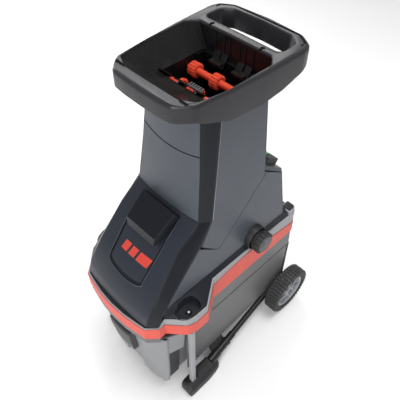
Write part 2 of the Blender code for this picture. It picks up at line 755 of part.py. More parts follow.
# ---------------------------------------------------------------- collection bin
def bin_body():
    """The tub, with the flanges that slide on the side walls' rails."""
    outer, inner = [], []
    for z, half, y0, y1 in BIN_BODY:
        outer.append([(-half, y0, z), (half, y0, z), (half, y1, z), (-half, y1, z)])
        lifted = z + (SHEET if z == BIN_BODY[-1][0] else 0.0)
        half, y0, y1 = half - SHEET, y0 + SHEET, y1 - SHEET
        inner.append([(-half, y0, lifted), (half, y0, lifted), (half, y1, lifted), (-half, y1, lifted)])
    flange = box(FLANGE_LOW, FLANGE_HIGH)
    join(add("bin_body", bin_tub(outer, inner), "base_grey"), flange, flip(flange))


def bin_front():
    """The bowed front panel, with a recess for the grip and a cheek at each side."""
    fractions = [k / 6 - 1 for k in range(13)]
    grids = []
    for depth in (0.0, SHEET):
        grids.append([
            [(f * half, BIN_FRONT_Y - crown * (1 - f ** 4) + depth, z) for f in fractions]
            for z, crown, half in BIN_FRONT
        ])
    front = add("bin_front", panel(*grids), "base_grey")
    cut(front, box((-GRIP_X, -0.32, GRIP_Z[0]), (GRIP_X, BIN_FRONT_Y - 0.001, GRIP_Z[1])))
    cheek = box(CHEEK_LOW, CHEEK_HIGH)
    join(front, cheek, flip(cheek))


def bin_grip():
    """A tray in the front panel's recess, open to the front and to the fingers."""
    x, (z0, z1), wall = GRIP_X - GAP, GRIP_Z, 0.006
    grip = add("bin_grip", box((-x, -0.2900, z0 + GAP), (x, -0.2550, z1 - GAP)), "soft_black")
    cut(grip, box((wall - GRIP_X, -0.30, z0 + wall), (GRIP_X - wall, -0.2600, z1 - 0.014)))


def bin_tub(outer, inner):
    """An open-topped tub between two lofts of sections, top first."""
    bm = bmesh.new()
    shells = [[[bm.verts.new(p) for p in loop] for loop in side] for side in (outer, inner)]
    for side in shells:
        for a, b in zip(side, side[1:]):
            for i in range(4):
                j = (i + 1) % 4
                bm.faces.new((a[i], a[j], b[j], b[i]))
        bm.faces.new(side[-1])
    for i in range(4):
        j = (i + 1) % 4
        bm.faces.new((shells[0][0][i], shells[0][0][j], shells[1][0][j], shells[1][0][i]))
    bmesh.ops.recalc_face_normals(bm, faces=bm.faces)
    return to_mesh(bm)


# ---------------------------------------------------------------- hopper
def level(loop, z):
    return [(x, y, z) for x, y in loop]


def hopper():
    """Rim, skirt and rear handle loop in one moulding, open underneath."""
    outline = mirrored(RIM_OUTLINE)
    outside = [level(inset(outline, 0.006), TOP), level(outline, TOP - 0.008), level(outline, 0.860)]
    body = add("hopper_rim", solid(outside), "hopper_black")
    wall = inset(outline, SHEET)
    hollow = solid([level(inset(outline, 0.009), TOP - RIM_PLATE), level(wall, TOP - RIM_PLATE - 0.006),
                    level(wall, 0.850)])
    below = plate("X", [(-0.2000, 0.8400), *SKIRT_EDGE, (0.2300, 0.8400)], -0.2000, 0.2000)
    mouth = plate("Z", mirrored(RIM_OPENING), 0.8400, TOP + 0.010)
    cut(body, hollow, below, mouth)
    hole = mirrored(HANDLE_HOLE)
    join(body, plate("Z", inset(hole, -SHEET), TOP - HANDLE_DEPTH, TOP - 0.002))
    cut(body, plate("Z", hole, 0.8400, TOP + 0.010))


def funnel():
    """The sloping chute walls between the rim and the throat."""
    top, low = inset(mirrored(RIM_OPENING), 0.0004), mirrored(FUNNEL_LOW)
    thick, high, foot = 0.0025, TOP - 0.001, THROAT_Z[1] + GAP
    inner = [level(inset(top, thick), high), level(low, foot)]
    outer = [level(top, high), level(inset(low, -thick), foot)]
    add("feed_funnel", panel(outer, inner, closed=True), "hopper_black")


def fluted(centre, x0, x1, radius, flutes, depth):
    """A disc with flutes around its edge."""
    outline = []
    for k in range(flutes):
        for share, r in ((0.0, radius), (0.45, radius), (0.55, radius - depth), (0.9, radius - depth)):
            a = math.tau * (k + share) / flutes
            outline.append((centre[0] + r * math.cos(a), centre[1] + r * math.sin(a)))
    return plate("X", outline, x0, x1)


def roller(name, axis, collars, radius, width, shaft_r):
    y, z = axis
    shaft = rod((-ROLLER_END, y, z), (ROLLER_END, y, z), shaft_r, 20)
    discs = [fluted(axis, x - width / 2, x + width / 2, radius, 14, 0.0022) for x in collars]
    pins = [rod((s * (ROLLER_END - 0.001), y, z), (s * PIN_END, y, z), PIN_R, 16) for s in (1, -1)]
    join(add(name, shaft, "feed_red", (0.0, y, z)), *discs, *pins)


def throat():
    x, (y0, y1), (z0, z1) = THROAT_X, THROAT_Y, THROAT_Z
    wall = 0.0035
    opening = [(-x, y0), (x, y0), (x, y1), (-x, y1)]
    ring = add("throat_frame", plate("Z", inset(opening, -wall), z0, z1, [opening]), "hopper_black")
    cut(ring, *[rod((-0.12, y, z), (0.12, y, z), PIN_R + GAP, 16) for y, z in (REAR_ROLLER, FRONT_ROLLER)])
    join(ring, comb(y1 + 0.001, 0.0260, -1, 0.8950, REAR_COLLARS, 0.0165),
         comb(y0 - 0.001, 0.0175, 1, 0.8940, FRONT_COLLARS, 0.0125))
    roller("rear_roller", REAR_ROLLER, REAR_COLLARS, 0.0200, 0.024, 0.0090)
    roller("front_roller", FRONT_ROLLER, FRONT_COLLARS, 0.0175, 0.010, 0.0070)


def comb(root, reach, towards, z, gaps, half):
    """A rail with fingers that reach between a roller's collars."""
    edge = THROAT_X + 0.001
    tip, valley = root + towards * reach, root + towards * 0.006
    outline = [(-edge, root), (-edge, tip)]
    for centre in gaps:
        left, right = centre - half, centre + half
        outline += [(left, tip), (left, valley), (right, valley), (right, tip)]
    outline += [(edge, tip), (edge, root)]
    return plate("Z", outline, z - 0.0040, z)


def duct():
    """Guides the branches from the throat down to the drum."""
    x, (y0, y1) = THROAT_X, THROAT_Y
    t = 0.002
    top = [(-x + t, y0 + t), (x - t, y0 + t), (x - t, y1 - t), (-x + t, y1 - t)]
    front, rear = DRUM_Y[0] - 0.001, DRUM_Y[1] + 0.001
    low = [(-0.0800, front), (0.0300, front), (0.0300, rear), (-0.0800, rear)]
    rows = ((THROAT_Z[0] - GAP, top), (0.5300, low))
    inner = [[(*p, z) for p in loop] for z, loop in rows]
    outer = [[(*p, z) for p in inset(loop, -t)] for z, loop in rows]
    add("feed_duct", panel(outer, inner, closed=True), "frame_black")


# ---------------------------------------------------------------- cutting unit and drive
def meeting_point(a, b, from_a, from_b):
    """The point at given distances from two others, on the left of the line from a to b."""
    a, b = Vector(a), Vector(b)
    run = b - a
    along = (from_a ** 2 - from_b ** 2 + run.length ** 2) / (2 * run.length)
    aside = math.sqrt(from_a ** 2 - along ** 2)
    unit = run.normalized()
    return tuple(a + unit * along + Vector((-unit.y, unit.x)) * aside)


def gear_outline(centre, teeth, module, phase):
    """Straight-flanked teeth with backlash; phase is the angle of one tooth's middle."""
    pitch_r = teeth * module / 2
    steps = ((-0.27, -1.2), (-0.12, 0.85), (0.12, 0.85), (0.27, -1.2))
    points = []
    for k in range(teeth):
        for share, height in steps:
            a = phase + math.tau * (k + share) / teeth
            r = pitch_r + height * module
            points.append((centre[0] + r * math.cos(a), centre[1] + r * math.sin(a)))
    return points


SLOW_CENTRES = (DRUM_TEETH + SMALL_TEETH) * MODULE_SLOW / 2
FAST_CENTRES = (BIG_TEETH + PINION_TEETH) * MODULE_FAST / 2
IDLER = meeting_point(DRUM, MOTOR, SLOW_CENTRES, FAST_CENTRES)


def bearing_of(a, b):
    return math.atan2(b[1] - a[1], b[0] - a[0])


def gears():
    to_idler = bearing_of(DRUM, IDLER)
    back = to_idler + math.pi
    to_pinion = bearing_of(IDLER, MOTOR)
    wheel = plate("Y", gear_outline(DRUM, DRUM_TEETH, MODULE_SLOW, to_idler), *SLOW_Y,
                  [circle(DRUM, SHAFT_R + GAP)])
    add("drum_gear", wheel, "steel", (DRUM[0], 0.0, DRUM[1]))
    small = plate("Y", gear_outline(IDLER, SMALL_TEETH, MODULE_SLOW, back + math.pi / SMALL_TEETH),
                  FAST_Y[1] - 0.001, SLOW_Y[1])
    big = plate("Y", gear_outline(IDLER, BIG_TEETH, MODULE_FAST, to_pinion), *FAST_Y)
    shaft = rod((IDLER[0], -0.0830, IDLER[1]), (IDLER[0], -0.0220, IDLER[1]), 0.0040, 16)
    join(add("idler_gear", big, "steel", (IDLER[0], 0.0, IDLER[1])), small, shaft)
    half_tooth = math.pi * (1 + 1 / PINION_TEETH)
    pinion = plate("Y", gear_outline(MOTOR, PINION_TEETH, MODULE_FAST, to_pinion + half_tooth), *FAST_Y,
                   [circle(MOTOR, 0.0033, 12)])
    add("motor_pinion", pinion, "steel", (MOTOR[0], 0.0, MOTOR[1]))


def cutter_drum():
    """The blades, on one core that the shaft runs through."""
    points = []
    for k in range(BLADES):
        for share, radius in ((0.0, DRUM_R), (0.10, DRUM_R), (0.30, DRUM_R * 0.74), (0.88, DRUM_R * 0.70)):
            a = math.tau * (k + share) / BLADES
            points.append((DRUM[0] + radius * math.cos(a), DRUM[1] + radius * math.sin(a)))
    return plate("Y", points, *DRUM_Y)


def cutting_unit():
    centre = (DRUM[0], 0.0, DRUM[1])
    drum = add("cutter_drum", cutter_drum(), "cast", centre)
    shaft = rod((DRUM[0], SLOW_Y[0] - 0.006, DRUM[1]), (DRUM[0], PLATE_REAR[1] + 0.006, DRUM[1]), SHAFT_R)
    join(drum, shaft)
    (x0, x1), (z0, z1) = CHAMBER_X, CHAMBER_Z
    outline = rounded((x0, z0), (x1, z1), 0.010)
    hole = circle(DRUM, 0.0165)
    front = plate("Y", outline, *PLATE_FRONT, [hole, circle(IDLER, 0.0044, 16)])
    y0, y1 = PLATE_FRONT[1] - 0.002, PLATE_REAR[0] + 0.002
    side = box((x0 + 0.002, y0, z0 + 0.003), (x0 + 0.010, y1, z1 - 0.003))
    join(add("cutting_chamber", front, "cast"), plate("Y", outline, *PLATE_REAR, [hole]), side)
    for name, (y0, y1) in (("drum_bearing_front", PLATE_FRONT), ("drum_bearing_rear", PLATE_REAR)):
        race = [(0.0105, 0.0), (0.0162, 0.0), (0.0162, y1 - y0), (0.0105, y1 - y0)]
        add(name, turned(race, (DRUM[0], y0, DRUM[1]), "Y", 24), "steel")

    gear_case()


def gear_case():
    """A tray over both gear stages, open towards the cutting chamber."""
    y0, y1 = GEAR_CASE
    inner_low, inner_high = [v + CASE_WALL for v in CASE_LOW], [v - CASE_WALL for v in CASE_HIGH]
    case = add("gear_case", plate("Y", rounded(CASE_LOW, CASE_HIGH, 0.012), y0, y1), "cast")
    cut(case, plate("Y", rounded(inner_low, inner_high, 0.010), y0 + CASE_WALL, y1 + 0.01),
        rod((MOTOR[0], y0 - 0.01, MOTOR[1]), (MOTOR[0], y0 + 0.01, MOTOR[1]), 0.0045, 16))


def motor():
    """The can with its stator inside, and the rotor on its shaft."""
    x, z = MOTOR
    start = (x, MOTOR_Y, z)
    depth = GEAR_CASE[0] - GAP - MOTOR_Y
    can_r, can_in, stator_in, bore = 0.0450, 0.0425, 0.0310, 0.0060
    can = [(stator_in, 0.022), (can_in, 0.022), (can_in, 0.0), (can_r, 0.0), (can_r, depth), (bore, depth),
           (bore, depth - 0.004), (can_in, depth - 0.004), (can_in, 0.088), (stator_in, 0.088)]
    add("motor_can", turned(can, start, "Y", 32), "cast")
    shaft_r, rotor_r, end = 0.003, 0.0300, FAST_Y[1] + 0.002 - MOTOR_Y
    rotor = [(0.0, 0.0), (shaft_r, 0.0), (shaft_r, 0.020), (rotor_r, 0.020), (rotor_r, 0.090),
             (shaft_r, 0.090), (shaft_r, end), (0.0, end)]
    add("motor_rotor", turned(rotor, start, "Y", 24), "steel", (x, 0.0, z))
    capacitor = rod((-0.0700, -0.2200, 0.3400), (-0.0700, -0.1450, 0.3400), 0.0180, 24)
    add("run_capacitor", capacitor, "soft_black")


def chute():
    """The discharge chute, moulded on the machine floor between the drum and the bin."""
    wall = 0.0030
    x0, x1 = -0.0830, 0.0330
    y0, y1 = DRUM_Y[0] - 0.003, DRUM_Y[1] + 0.003
    opening = [(x0, y0), (x1, y0), (x1, y1), (x0, y1)]
    outline = inset(opening, -wall)
    return ring_wall(outline, opening, [0.2900] * 4, [0.3955] * 4)


def adjuster():
    """The knob's screw moves the pressure plate towards the drum."""
    def along(x0, x1, radius, sides=24, end_radius=None):
        return rod((x0, KNOB_Y, KNOB_Z), (x1, KNOB_Y, KNOB_Z), radius, sides, end_radius)

    axis = (0.0, KNOB_Y, KNOB_Z)
    (x0, z0), (x1, z1) = PRESS_LOW, PRESS_HIGH
    press = add("pressure_plate", box((x0, DRUM_Y[0], z0), (x1, DRUM_Y[1], z1)), "cast")
    join(press, along(*PRESS_NUT, 0.0110, 20))
    cut(press, along(PRESS_NUT[0] + 0.0055, PRESS_NUT[1] + 0.01, SCREW_R + GAP, 20))
    add("adjuster_screw", along(0.0350, 0.1380, SCREW_R, 20), "steel", axis)
    grip = fluted(axis[1:], 0.1520, 0.1770, KNOB_R, 18, 0.0022)
    knob = add("adjuster_knob", grip, "soft_black", axis)
    join(knob, along(0.1383, 0.1540, 0.0100), along(0.1760, 0.1810, 0.0250, 32, 0.0235))


# ---------------------------------------------------------------- controls
SLOPE = math.atan2(HUMP[1][1] - HUMP[0][1], HUMP[1][0] - HUMP[0][0])  # of the hump's sloping top
CONSOLE = Matrix.Translation((0.0, *HUMP[0])) @ Matrix.Rotation(SLOPE, 4, "X")
# In the console's own axes: X across, Y down the slope, Z out of it.
BUTTON_R, BUTTON_TRAVEL = 0.0100, 0.0030
START, STOP, DIAL, INLET = (0.0700, 0.038), (0.0380, 0.038), (-0.0120, 0.038), (-0.0650, 0.038)
DIAL_R, SOCKET_R = 0.0150, 0.0165
DEEP, FACE = 0.0040, 0.0180  # floor of the wells and face of the console


def on_console(mesh):
    mesh.transform(CONSOLE)
    return mesh


def upright(place, low, high, radius, sides=24, end_radius=None):
    return on_console(rod((*place, low), (*place, high), radius, sides, end_radius))


def console():
    body = plate("Z", rounded((-0.0990, 0.0100), (0.0990, 0.0680), 0.006), 0.0004, FACE)
    switch_box = add("switch_housing", on_console(body), "soft_black")
    well, over = BUTTON_R + 0.0005, FACE + 0.01
    cut(switch_box, upright(START, DEEP, over, well), upright(STOP, DEEP, over, well),
        upright(DIAL, DEEP, over, 0.0045, 16), upright(INLET, DEEP, over, SOCKET_R))
    for name, place, finish in (("start_button", START, "signal_green"), ("stop_button", STOP, "trim_red")):
        low = DEEP + BUTTON_TRAVEL + 0.0010
        add(name, upright(place, low, FACE + 0.0035, BUTTON_R), finish, CONSOLE @ Vector((*place, low)))
    direction_dial()
    mains_inlet()


def direction_dial():
    """A disc with a raised bar, on a short spindle."""
    x, y = DIAL
    disc = upright(DIAL, FACE + GAP, FACE + 0.0060, DIAL_R, 32, DIAL_R - 0.001)
    dial = add("direction_dial", disc, "soft_black", CONSOLE @ Vector((*DIAL, FACE)))
    bar = box((x - 0.0030, y - 0.0130, FACE + 0.0050), (x + 0.0030, y + 0.0130, FACE + 0.0120))
    join(dial, upright(DIAL, DEEP + 0.0020, FACE + 0.0020, 0.0040, 16), on_console(bar))


def mains_inlet():
    """A round recessed socket with three pins."""
    shell = upright(INLET, DEEP + GAP, FACE + 0.0040, SOCKET_R - 0.0004, 32)
    socket = add("mains_inlet", shell, "frame_black")
    cut(socket, upright(INLET, DEEP + 0.0040, FACE + 0.01, 0.0130))
    x, y = INLET
    for dx, dy in ((-0.0055, 0.0), (0.0055, 0.0), (0.0, 0.0060)):
        join(socket, upright((x + dx, y + dy), DEEP + 0.0030, FACE - 0.0020, 0.0018, 12))


# ---------------------------------------------------------------- build
housing()
hood_cowl()
base_shell()
frame()
wheels()
bin_body()
bin_front()
bin_grip()
hopper()
funnel()
throat()
duct()
gears()
cutting_unit()
motor()
adjuster()
console()
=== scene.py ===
"""Finish of an electric wood chipper: mouldings, castings, tyres and steel built around its frame.

Metres, +Z up, in the frame's own coordinates: -Y is the bin's side, +X the side with the adjusting knob.
"""

import math

import bmesh
import bpy
from mathutils import Matrix, Vector
from mathutils.bvhtree import BVHTree


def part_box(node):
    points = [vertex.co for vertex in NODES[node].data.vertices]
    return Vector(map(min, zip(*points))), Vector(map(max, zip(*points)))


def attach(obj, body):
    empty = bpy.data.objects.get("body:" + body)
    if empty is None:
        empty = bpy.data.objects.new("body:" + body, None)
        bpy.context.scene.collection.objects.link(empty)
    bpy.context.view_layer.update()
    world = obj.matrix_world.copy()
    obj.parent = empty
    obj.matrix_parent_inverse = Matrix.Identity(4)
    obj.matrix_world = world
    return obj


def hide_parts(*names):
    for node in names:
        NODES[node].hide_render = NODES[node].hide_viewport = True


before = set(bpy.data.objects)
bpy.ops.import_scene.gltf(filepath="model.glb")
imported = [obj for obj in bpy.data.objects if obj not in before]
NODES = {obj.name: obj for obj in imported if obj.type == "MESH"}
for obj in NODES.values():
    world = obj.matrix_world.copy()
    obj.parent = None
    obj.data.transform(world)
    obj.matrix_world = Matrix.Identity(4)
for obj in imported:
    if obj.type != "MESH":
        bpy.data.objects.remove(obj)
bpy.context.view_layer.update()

CHASSIS, BIN = "chassis", "bin"
ACROSS, REARWARDS, UPWARDS = (1.0, 0.0, 0.0), (0.0, 1.0, 0.0), (0.0, 0.0, 1.0)

# ---------------------------------------------------------------- camera, floor and light
EYE = Vector((0.6053, -0.585, 1.4674))
AIM = Vector((-0.0003, 0.0075, 0.5389))
LENS_MM, SENSOR_MM = 43.722, 36.0
MIDDLE = Vector((0.0, 0.0, 0.5))
FLOOR_REACH, FLOOR_DROP = 12.0, 0.0005


def turned_to(thing, target):
    """Points a camera or a lamp at a place."""
    look = target - thing.location
    thing.rotation_euler = look.to_track_quat("-Z", "Y").to_euler()


def place_camera():
    data = bpy.data.cameras.new("camera")
    data.sensor_width, data.lens = SENSOR_MM, LENS_MM
    data.clip_start, data.clip_end = 0.01, 50.0
    camera = bpy.data.objects.new("camera", data)
    bpy.context.scene.collection.objects.link(camera)
    camera.location = EYE
    turned_to(camera, AIM)
    bpy.context.scene.camera = camera


def softbox(name, place, size, watts):
    """A square lamp that looks at the middle of the machine."""
    data = bpy.data.lights.new(name, "AREA")
    data.shape, data.size, data.energy = "SQUARE", size, watts
    lamp = bpy.data.objects.new(name, data)
    bpy.context.scene.collection.objects.link(lamp)
    lamp.location = Vector(place)
    turned_to(lamp, MIDDLE)


def plain_world(strength):
    world = bpy.data.worlds.new("studio_air")
    world.use_nodes = True
    air = world.node_tree.nodes["Background"]
    air.inputs["Color"].default_value = (1.0, 1.0, 1.0, 1.0)
    air.inputs["Strength"].default_value = strength
    bpy.context.scene.world = world


def pale_floor():
    bm = bmesh.new()
    bmesh.ops.create_grid(bm, x_segments=1, y_segments=1, size=FLOOR_REACH)
    mesh = bpy.data.meshes.new("studio_floor")
    bm.to_mesh(mesh)
    bm.free()
    floor = bpy.data.objects.new("studio_floor", mesh)
    floor.location.z = -FLOOR_DROP
    bpy.context.scene.collection.objects.link(floor)
    made = bpy.data.materials.new("pale_floor")
    made.use_nodes = True
    shader = made.node_tree.nodes["Principled BSDF"]
    shader.inputs["Base Color"].default_value = (0.93, 0.93, 0.93, 1.0)
    shader.inputs["Roughness"].default_value = 0.9
    mesh.materials.append(made)


bpy.context.scene.view_settings.view_transform = "Standard"
place_camera()
pale_floor()
plain_world(0.45)
softbox("front_softbox", (1.5, -2.9, 1.7), 1.6, 70)
softbox("top_softbox", (0.4, 0.3, 3.0), 1.4, 45)
softbox("left_softbox", (-2.8, 0.2, 1.5), 1.4, 34)
softbox("back_softbox", (-1.7, 1.7, 2.6), 1.1, 20)


# ---------------------------------------------------------------- shader groups
def new_group(name, inputs, outputs):
    """An empty shader group with its named sockets, and its input and output nodes."""
    tree = bpy.data.node_groups.new(name, "ShaderNodeTree")
    for label, kind, value in inputs:
        socket = tree.interface.new_socket(label, in_out="INPUT", socket_type=kind)
        if value is not None:
            socket.default_value = value
    for label, kind in outputs:
        tree.interface.new_socket(label, in_out="OUTPUT", socket_type=kind)
    return tree, tree.nodes.new("NodeGroupInput"), tree.nodes.new("NodeGroupOutput")


def noise(tree, source, scale, detail=3.0, roughness=0.5):
    made = tree.nodes.new("ShaderNodeTexNoise")
    made.inputs["Scale"].default_value = scale
    made.inputs["Detail"].default_value = detail
    made.inputs["Roughness"].default_value = roughness
    tree.links.new(source, made.inputs["Vector"])
    return made.outputs["Fac"]


def maths(tree, kind, *values, clamp=False):
    """One step of arithmetic on numbers and sockets."""
    made = tree.nodes.new("ShaderNodeMath")
    made.operation, made.use_clamp = kind, clamp
    for socket, value in zip(made.inputs, values):
        if isinstance(value, (int, float)):
            socket.default_value = value
        else:
            tree.links.new(value, socket)
    return made.outputs["Value"]


def mixed(tree, factor, first, second):
    """One colour faded into another."""
    made = tree.nodes.new("ShaderNodeMix")
    made.data_type = "RGBA"
    for socket, value in ((made.inputs[0], factor), (made.inputs[6], first), (made.inputs[7], second)):
        if isinstance(value, (int, float, tuple)):
            socket.default_value = value
        else:
            tree.links.new(value, socket)
    return made.outputs[2]


def spread(tree, value, low, high):
    """Stretches the span from low to high over 0 to 1."""
    made = tree.nodes.new("ShaderNodeMapRange")
    tree.links.new(value, made.inputs["Value"])
    made.inputs["From Min"].default_value = low
    made.inputs["From Max"].default_value = high
    return made.outputs["Result"]


FLOAT, COLOUR = "NodeSocketFloat", "NodeSocketColor"
PLACE_IN, COLOUR_IN = ("Place", "NodeSocketVector", None), ("Colour", COLOUR, None)
COLOUR_OUT = ("Colour", COLOUR)


def spark_grain_group():
    """The fine eroded grain of a moulding tool: tiny rounded pits over a slow swell."""
    inputs = [PLACE_IN, ("Pits per metre", FLOAT, 900.0)]
    tree, given, out = new_group("spark_grain", inputs, [("Height", FLOAT)])
    pits = tree.nodes.new("ShaderNodeTexVoronoi")
    tree.links.new(given.outputs["Place"], pits.inputs["Vector"])
    tree.links.new(given.outputs["Pits per metre"], pits.inputs["Scale"])
    fine = tree.nodes.new("ShaderNodeTexNoise")
    tree.links.new(given.outputs["Place"], fine.inputs["Vector"])
    tree.links.new(given.outputs["Pits per metre"], fine.inputs["Scale"])
    fine.inputs["Detail"].default_value = 2.0
    tree.links.new(maths(tree, "ADD", pits.outputs["Distance"], fine.outputs["Fac"]), out.inputs["Height"])
    return tree


def colour_drift_group():
    """Slow, faint changes of shade over a moulding, as pigment and cooling leave them."""
    tree, given, out = new_group("colour_drift", [PLACE_IN, COLOUR_IN, ("Amount", FLOAT, 0.08)], [COLOUR_OUT])
    slow = noise(tree, given.outputs["Place"], 7.0)
    quick = noise(tree, given.outputs["Place"], 60.0, 4.0)
    both = maths(tree, "ADD", maths(tree, "MULTIPLY", slow, 0.7), maths(tree, "MULTIPLY", quick, 0.3))
    shift = maths(tree, "MULTIPLY", maths(tree, "SUBTRACT", both, 0.5), given.outputs["Amount"])
    shade = tree.nodes.new("ShaderNodeHueSaturation")
    tree.links.new(maths(tree, "ADD", maths(tree, "MULTIPLY", shift, 4.0), 1.0), shade.inputs["Value"])
    tree.links.new(given.outputs["Colour"], shade.inputs["Color"])
    tree.links.new(shade.outputs["Color"], out.inputs["Colour"])
    return tree


def edge_wear_group():
    """Paler edges, partly abrasion and partly painted highlight: the surface normal against the same normal
    rounded over a small radius.
    """
    inputs = [PLACE_IN, COLOUR_IN, ("Worn", COLOUR, None), ("Amount", FLOAT, 0.5), ("Radius", FLOAT, 0.002)]
    tree, given, out = new_group("edge_wear", inputs, [COLOUR_OUT])
    rounded = tree.nodes.new("ShaderNodeBevel")
    rounded.samples = 4
    tree.links.new(given.outputs["Radius"], rounded.inputs["Radius"])
    plain = tree.nodes.new("ShaderNodeNewGeometry")
    turn = tree.nodes.new("ShaderNodeVectorMath")
    turn.operation = "DOT_PRODUCT"
    tree.links.new(rounded.outputs["Normal"], turn.inputs[0])
    tree.links.new(plain.outputs["Normal"], turn.inputs[1])
    edge = spread(tree, turn.outputs["Value"], 0.995, 0.9)
    patchy = spread(tree, noise(tree, given.outputs["Place"], 45.0, 5.0, 0.65), 0.38, 0.62)
    mask = maths(tree, "MULTIPLY", maths(tree, "MULTIPLY", edge, patchy), given.outputs["Amount"], clamp=True)
    # The paler edge tone stands both for abrasion and for a painted highlight along every edge.
    tree.links.new(mixed(tree, mask, given.outputs["Colour"], given.outputs["Worn"]), out.inputs["Colour"])
    return tree


def scuff_group():
    """Hair scratches in two directions and dull patches, for the roughness."""
    inputs = [PLACE_IN, ("Roughness", FLOAT, 0.45), ("Amount", FLOAT, 0.1)]
    tree, given, out = new_group("scuffs", inputs, [("Roughness", FLOAT)])
    turned = tree.nodes.new("ShaderNodeMapping")
    turned.inputs["Rotation"].default_value = (0.4, 0.7, 0.3)
    turned.inputs["Scale"].default_value = (1400.0, 60.0, 500.0)
    tree.links.new(given.outputs["Place"], turned.inputs["Vector"])
    hair = noise(tree, turned.outputs["Vector"], 1.0, 2.0)
    patch = noise(tree, given.outputs["Place"], 18.0, 4.0)
    scratches = maths(tree, "MULTIPLY", maths(tree, "SUBTRACT", hair, 0.5), 0.3)
    both = maths(tree, "ADD", scratches, maths(tree, "SUBTRACT", patch, 0.5))
    change = maths(tree, "MULTIPLY", both, given.outputs["Amount"])
    rough = maths(tree, "ADD", given.outputs["Roughness"], change, clamp=True)
    tree.links.new(rough, out.inputs["Roughness"])
    return tree


def dust_group():
    """A thin film of sawdust that settles on what faces up and gathers in patches."""
    inputs = [PLACE_IN, COLOUR_IN, ("Dust", COLOUR, None), ("Amount", FLOAT, 0.2)]
    tree, given, out = new_group("settled_dust", inputs, [COLOUR_OUT])
    plain = tree.nodes.new("ShaderNodeNewGeometry")
    parts = tree.nodes.new("ShaderNodeSeparateXYZ")
    tree.links.new(plain.outputs["Normal"], parts.inputs["Vector"])
    up = spread(tree, parts.outputs["Z"], 0.35, 0.95)
    patchy = spread(tree, noise(tree, given.outputs["Place"], 30.0, 6.0, 0.7), 0.4, 0.75)
    mask = maths(tree, "MULTIPLY", maths(tree, "MULTIPLY", up, patchy), given.outputs["Amount"], clamp=True)
    tree.links.new(mixed(tree, mask, given.outputs["Colour"], given.outputs["Dust"]), out.inputs["Colour"])
    return tree


GROUPS = {
    "grain": spark_grain_group(),
    "drift": colour_drift_group(),
    "wear": edge_wear_group(),
    "scuffs": scuff_group(),
    "dust": dust_group(),
}


# ---------------------------------------------------------------- materials
def placed(tree, kind, place, **values):
    """The output of a group fed with the piece's own coordinates and the values given."""
    made = tree.nodes.new("ShaderNodeGroup")
    made.node_tree = GROUPS[kind]
    tree.links.new(place, made.inputs["Place"])
    for label, value in values.items():
        socket = made.inputs[label.replace("_", " ")]
        if isinstance(value, bpy.types.NodeSocket):
            tree.links.new(value, socket)
        else:
            socket.default_value = value
    return made.outputs[0]


def rgba(colour):
    return (*colour, 1.0)


# Edge tones: the red one is abrasion and painted highlight, the primer shows through on scraped frame edges.
SAWDUST, RUBBED_AND_LIT_RED, PRIMER = (0.42, 0.36, 0.27), (0.78, 0.26, 0.2), (0.1, 0.1, 0.1)
BARE_STEEL = (0.56, 0.56, 0.57)
EDGE_TONE_RADIUS, GRAIN_DEPTH, COAT_ROUGHNESS = 0.0016, 0.0003, 0.3


def paler(colour):
    return tuple(min(1, c * 1.8 + 0.03) for c in colour)


def finish(name, colour, roughness, metallic=0.0, worn_and_lit_tone=None, wear=0.35, drift=0.08,
           grain=900.0, relief=0.12, scuffs=0.12, dust=0.0, coat=0.0, shine=0.35):
    """One finish: drifting colour, paler edges for abrasion and painted highlight, settled dust, scuffed
    gloss and a fine relief.
    """
    made = bpy.data.materials.new(name)
    made.use_nodes = True
    tree = made.node_tree
    shader = tree.nodes["Principled BSDF"]
    shader.inputs["Metallic"].default_value = metallic
    shader.inputs["Coat Weight"].default_value = coat
    shader.inputs["Coat Roughness"].default_value = COAT_ROUGHNESS
    shader.inputs["Specular IOR Level"].default_value = shine
    place = tree.nodes.new("ShaderNodeTexCoord").outputs["Object"]
    shade = placed(tree, "drift", place, Colour=rgba(colour), Amount=drift)
    # The paler edge colour is partly abrasion and partly a painted highlight along the edges.
    worn_and_lit_edge = rgba(worn_and_lit_tone or paler(colour))
    shade = placed(tree, "wear", place, Colour=shade, Worn=worn_and_lit_edge, Amount=wear, Radius=EDGE_TONE_RADIUS)
    if dust:
        shade = placed(tree, "dust", place, Colour=shade, Dust=rgba(SAWDUST), Amount=dust)
    tree.links.new(shade, shader.inputs["Base Color"])
    gloss = placed(tree, "scuffs", place, Roughness=roughness, Amount=scuffs)
    tree.links.new(gloss, shader.inputs["Roughness"])
    bump = tree.nodes.new("ShaderNodeBump")
    bump.inputs["Strength"].default_value = relief
    bump.inputs["Distance"].default_value = GRAIN_DEPTH
    height = placed(tree, "grain", place, Pits_per_metre=grain)
    tree.links.new(height, bump.inputs["Height"])
    tree.links.new(bump.outputs["Normal"], shader.inputs["Normal"])
    return made


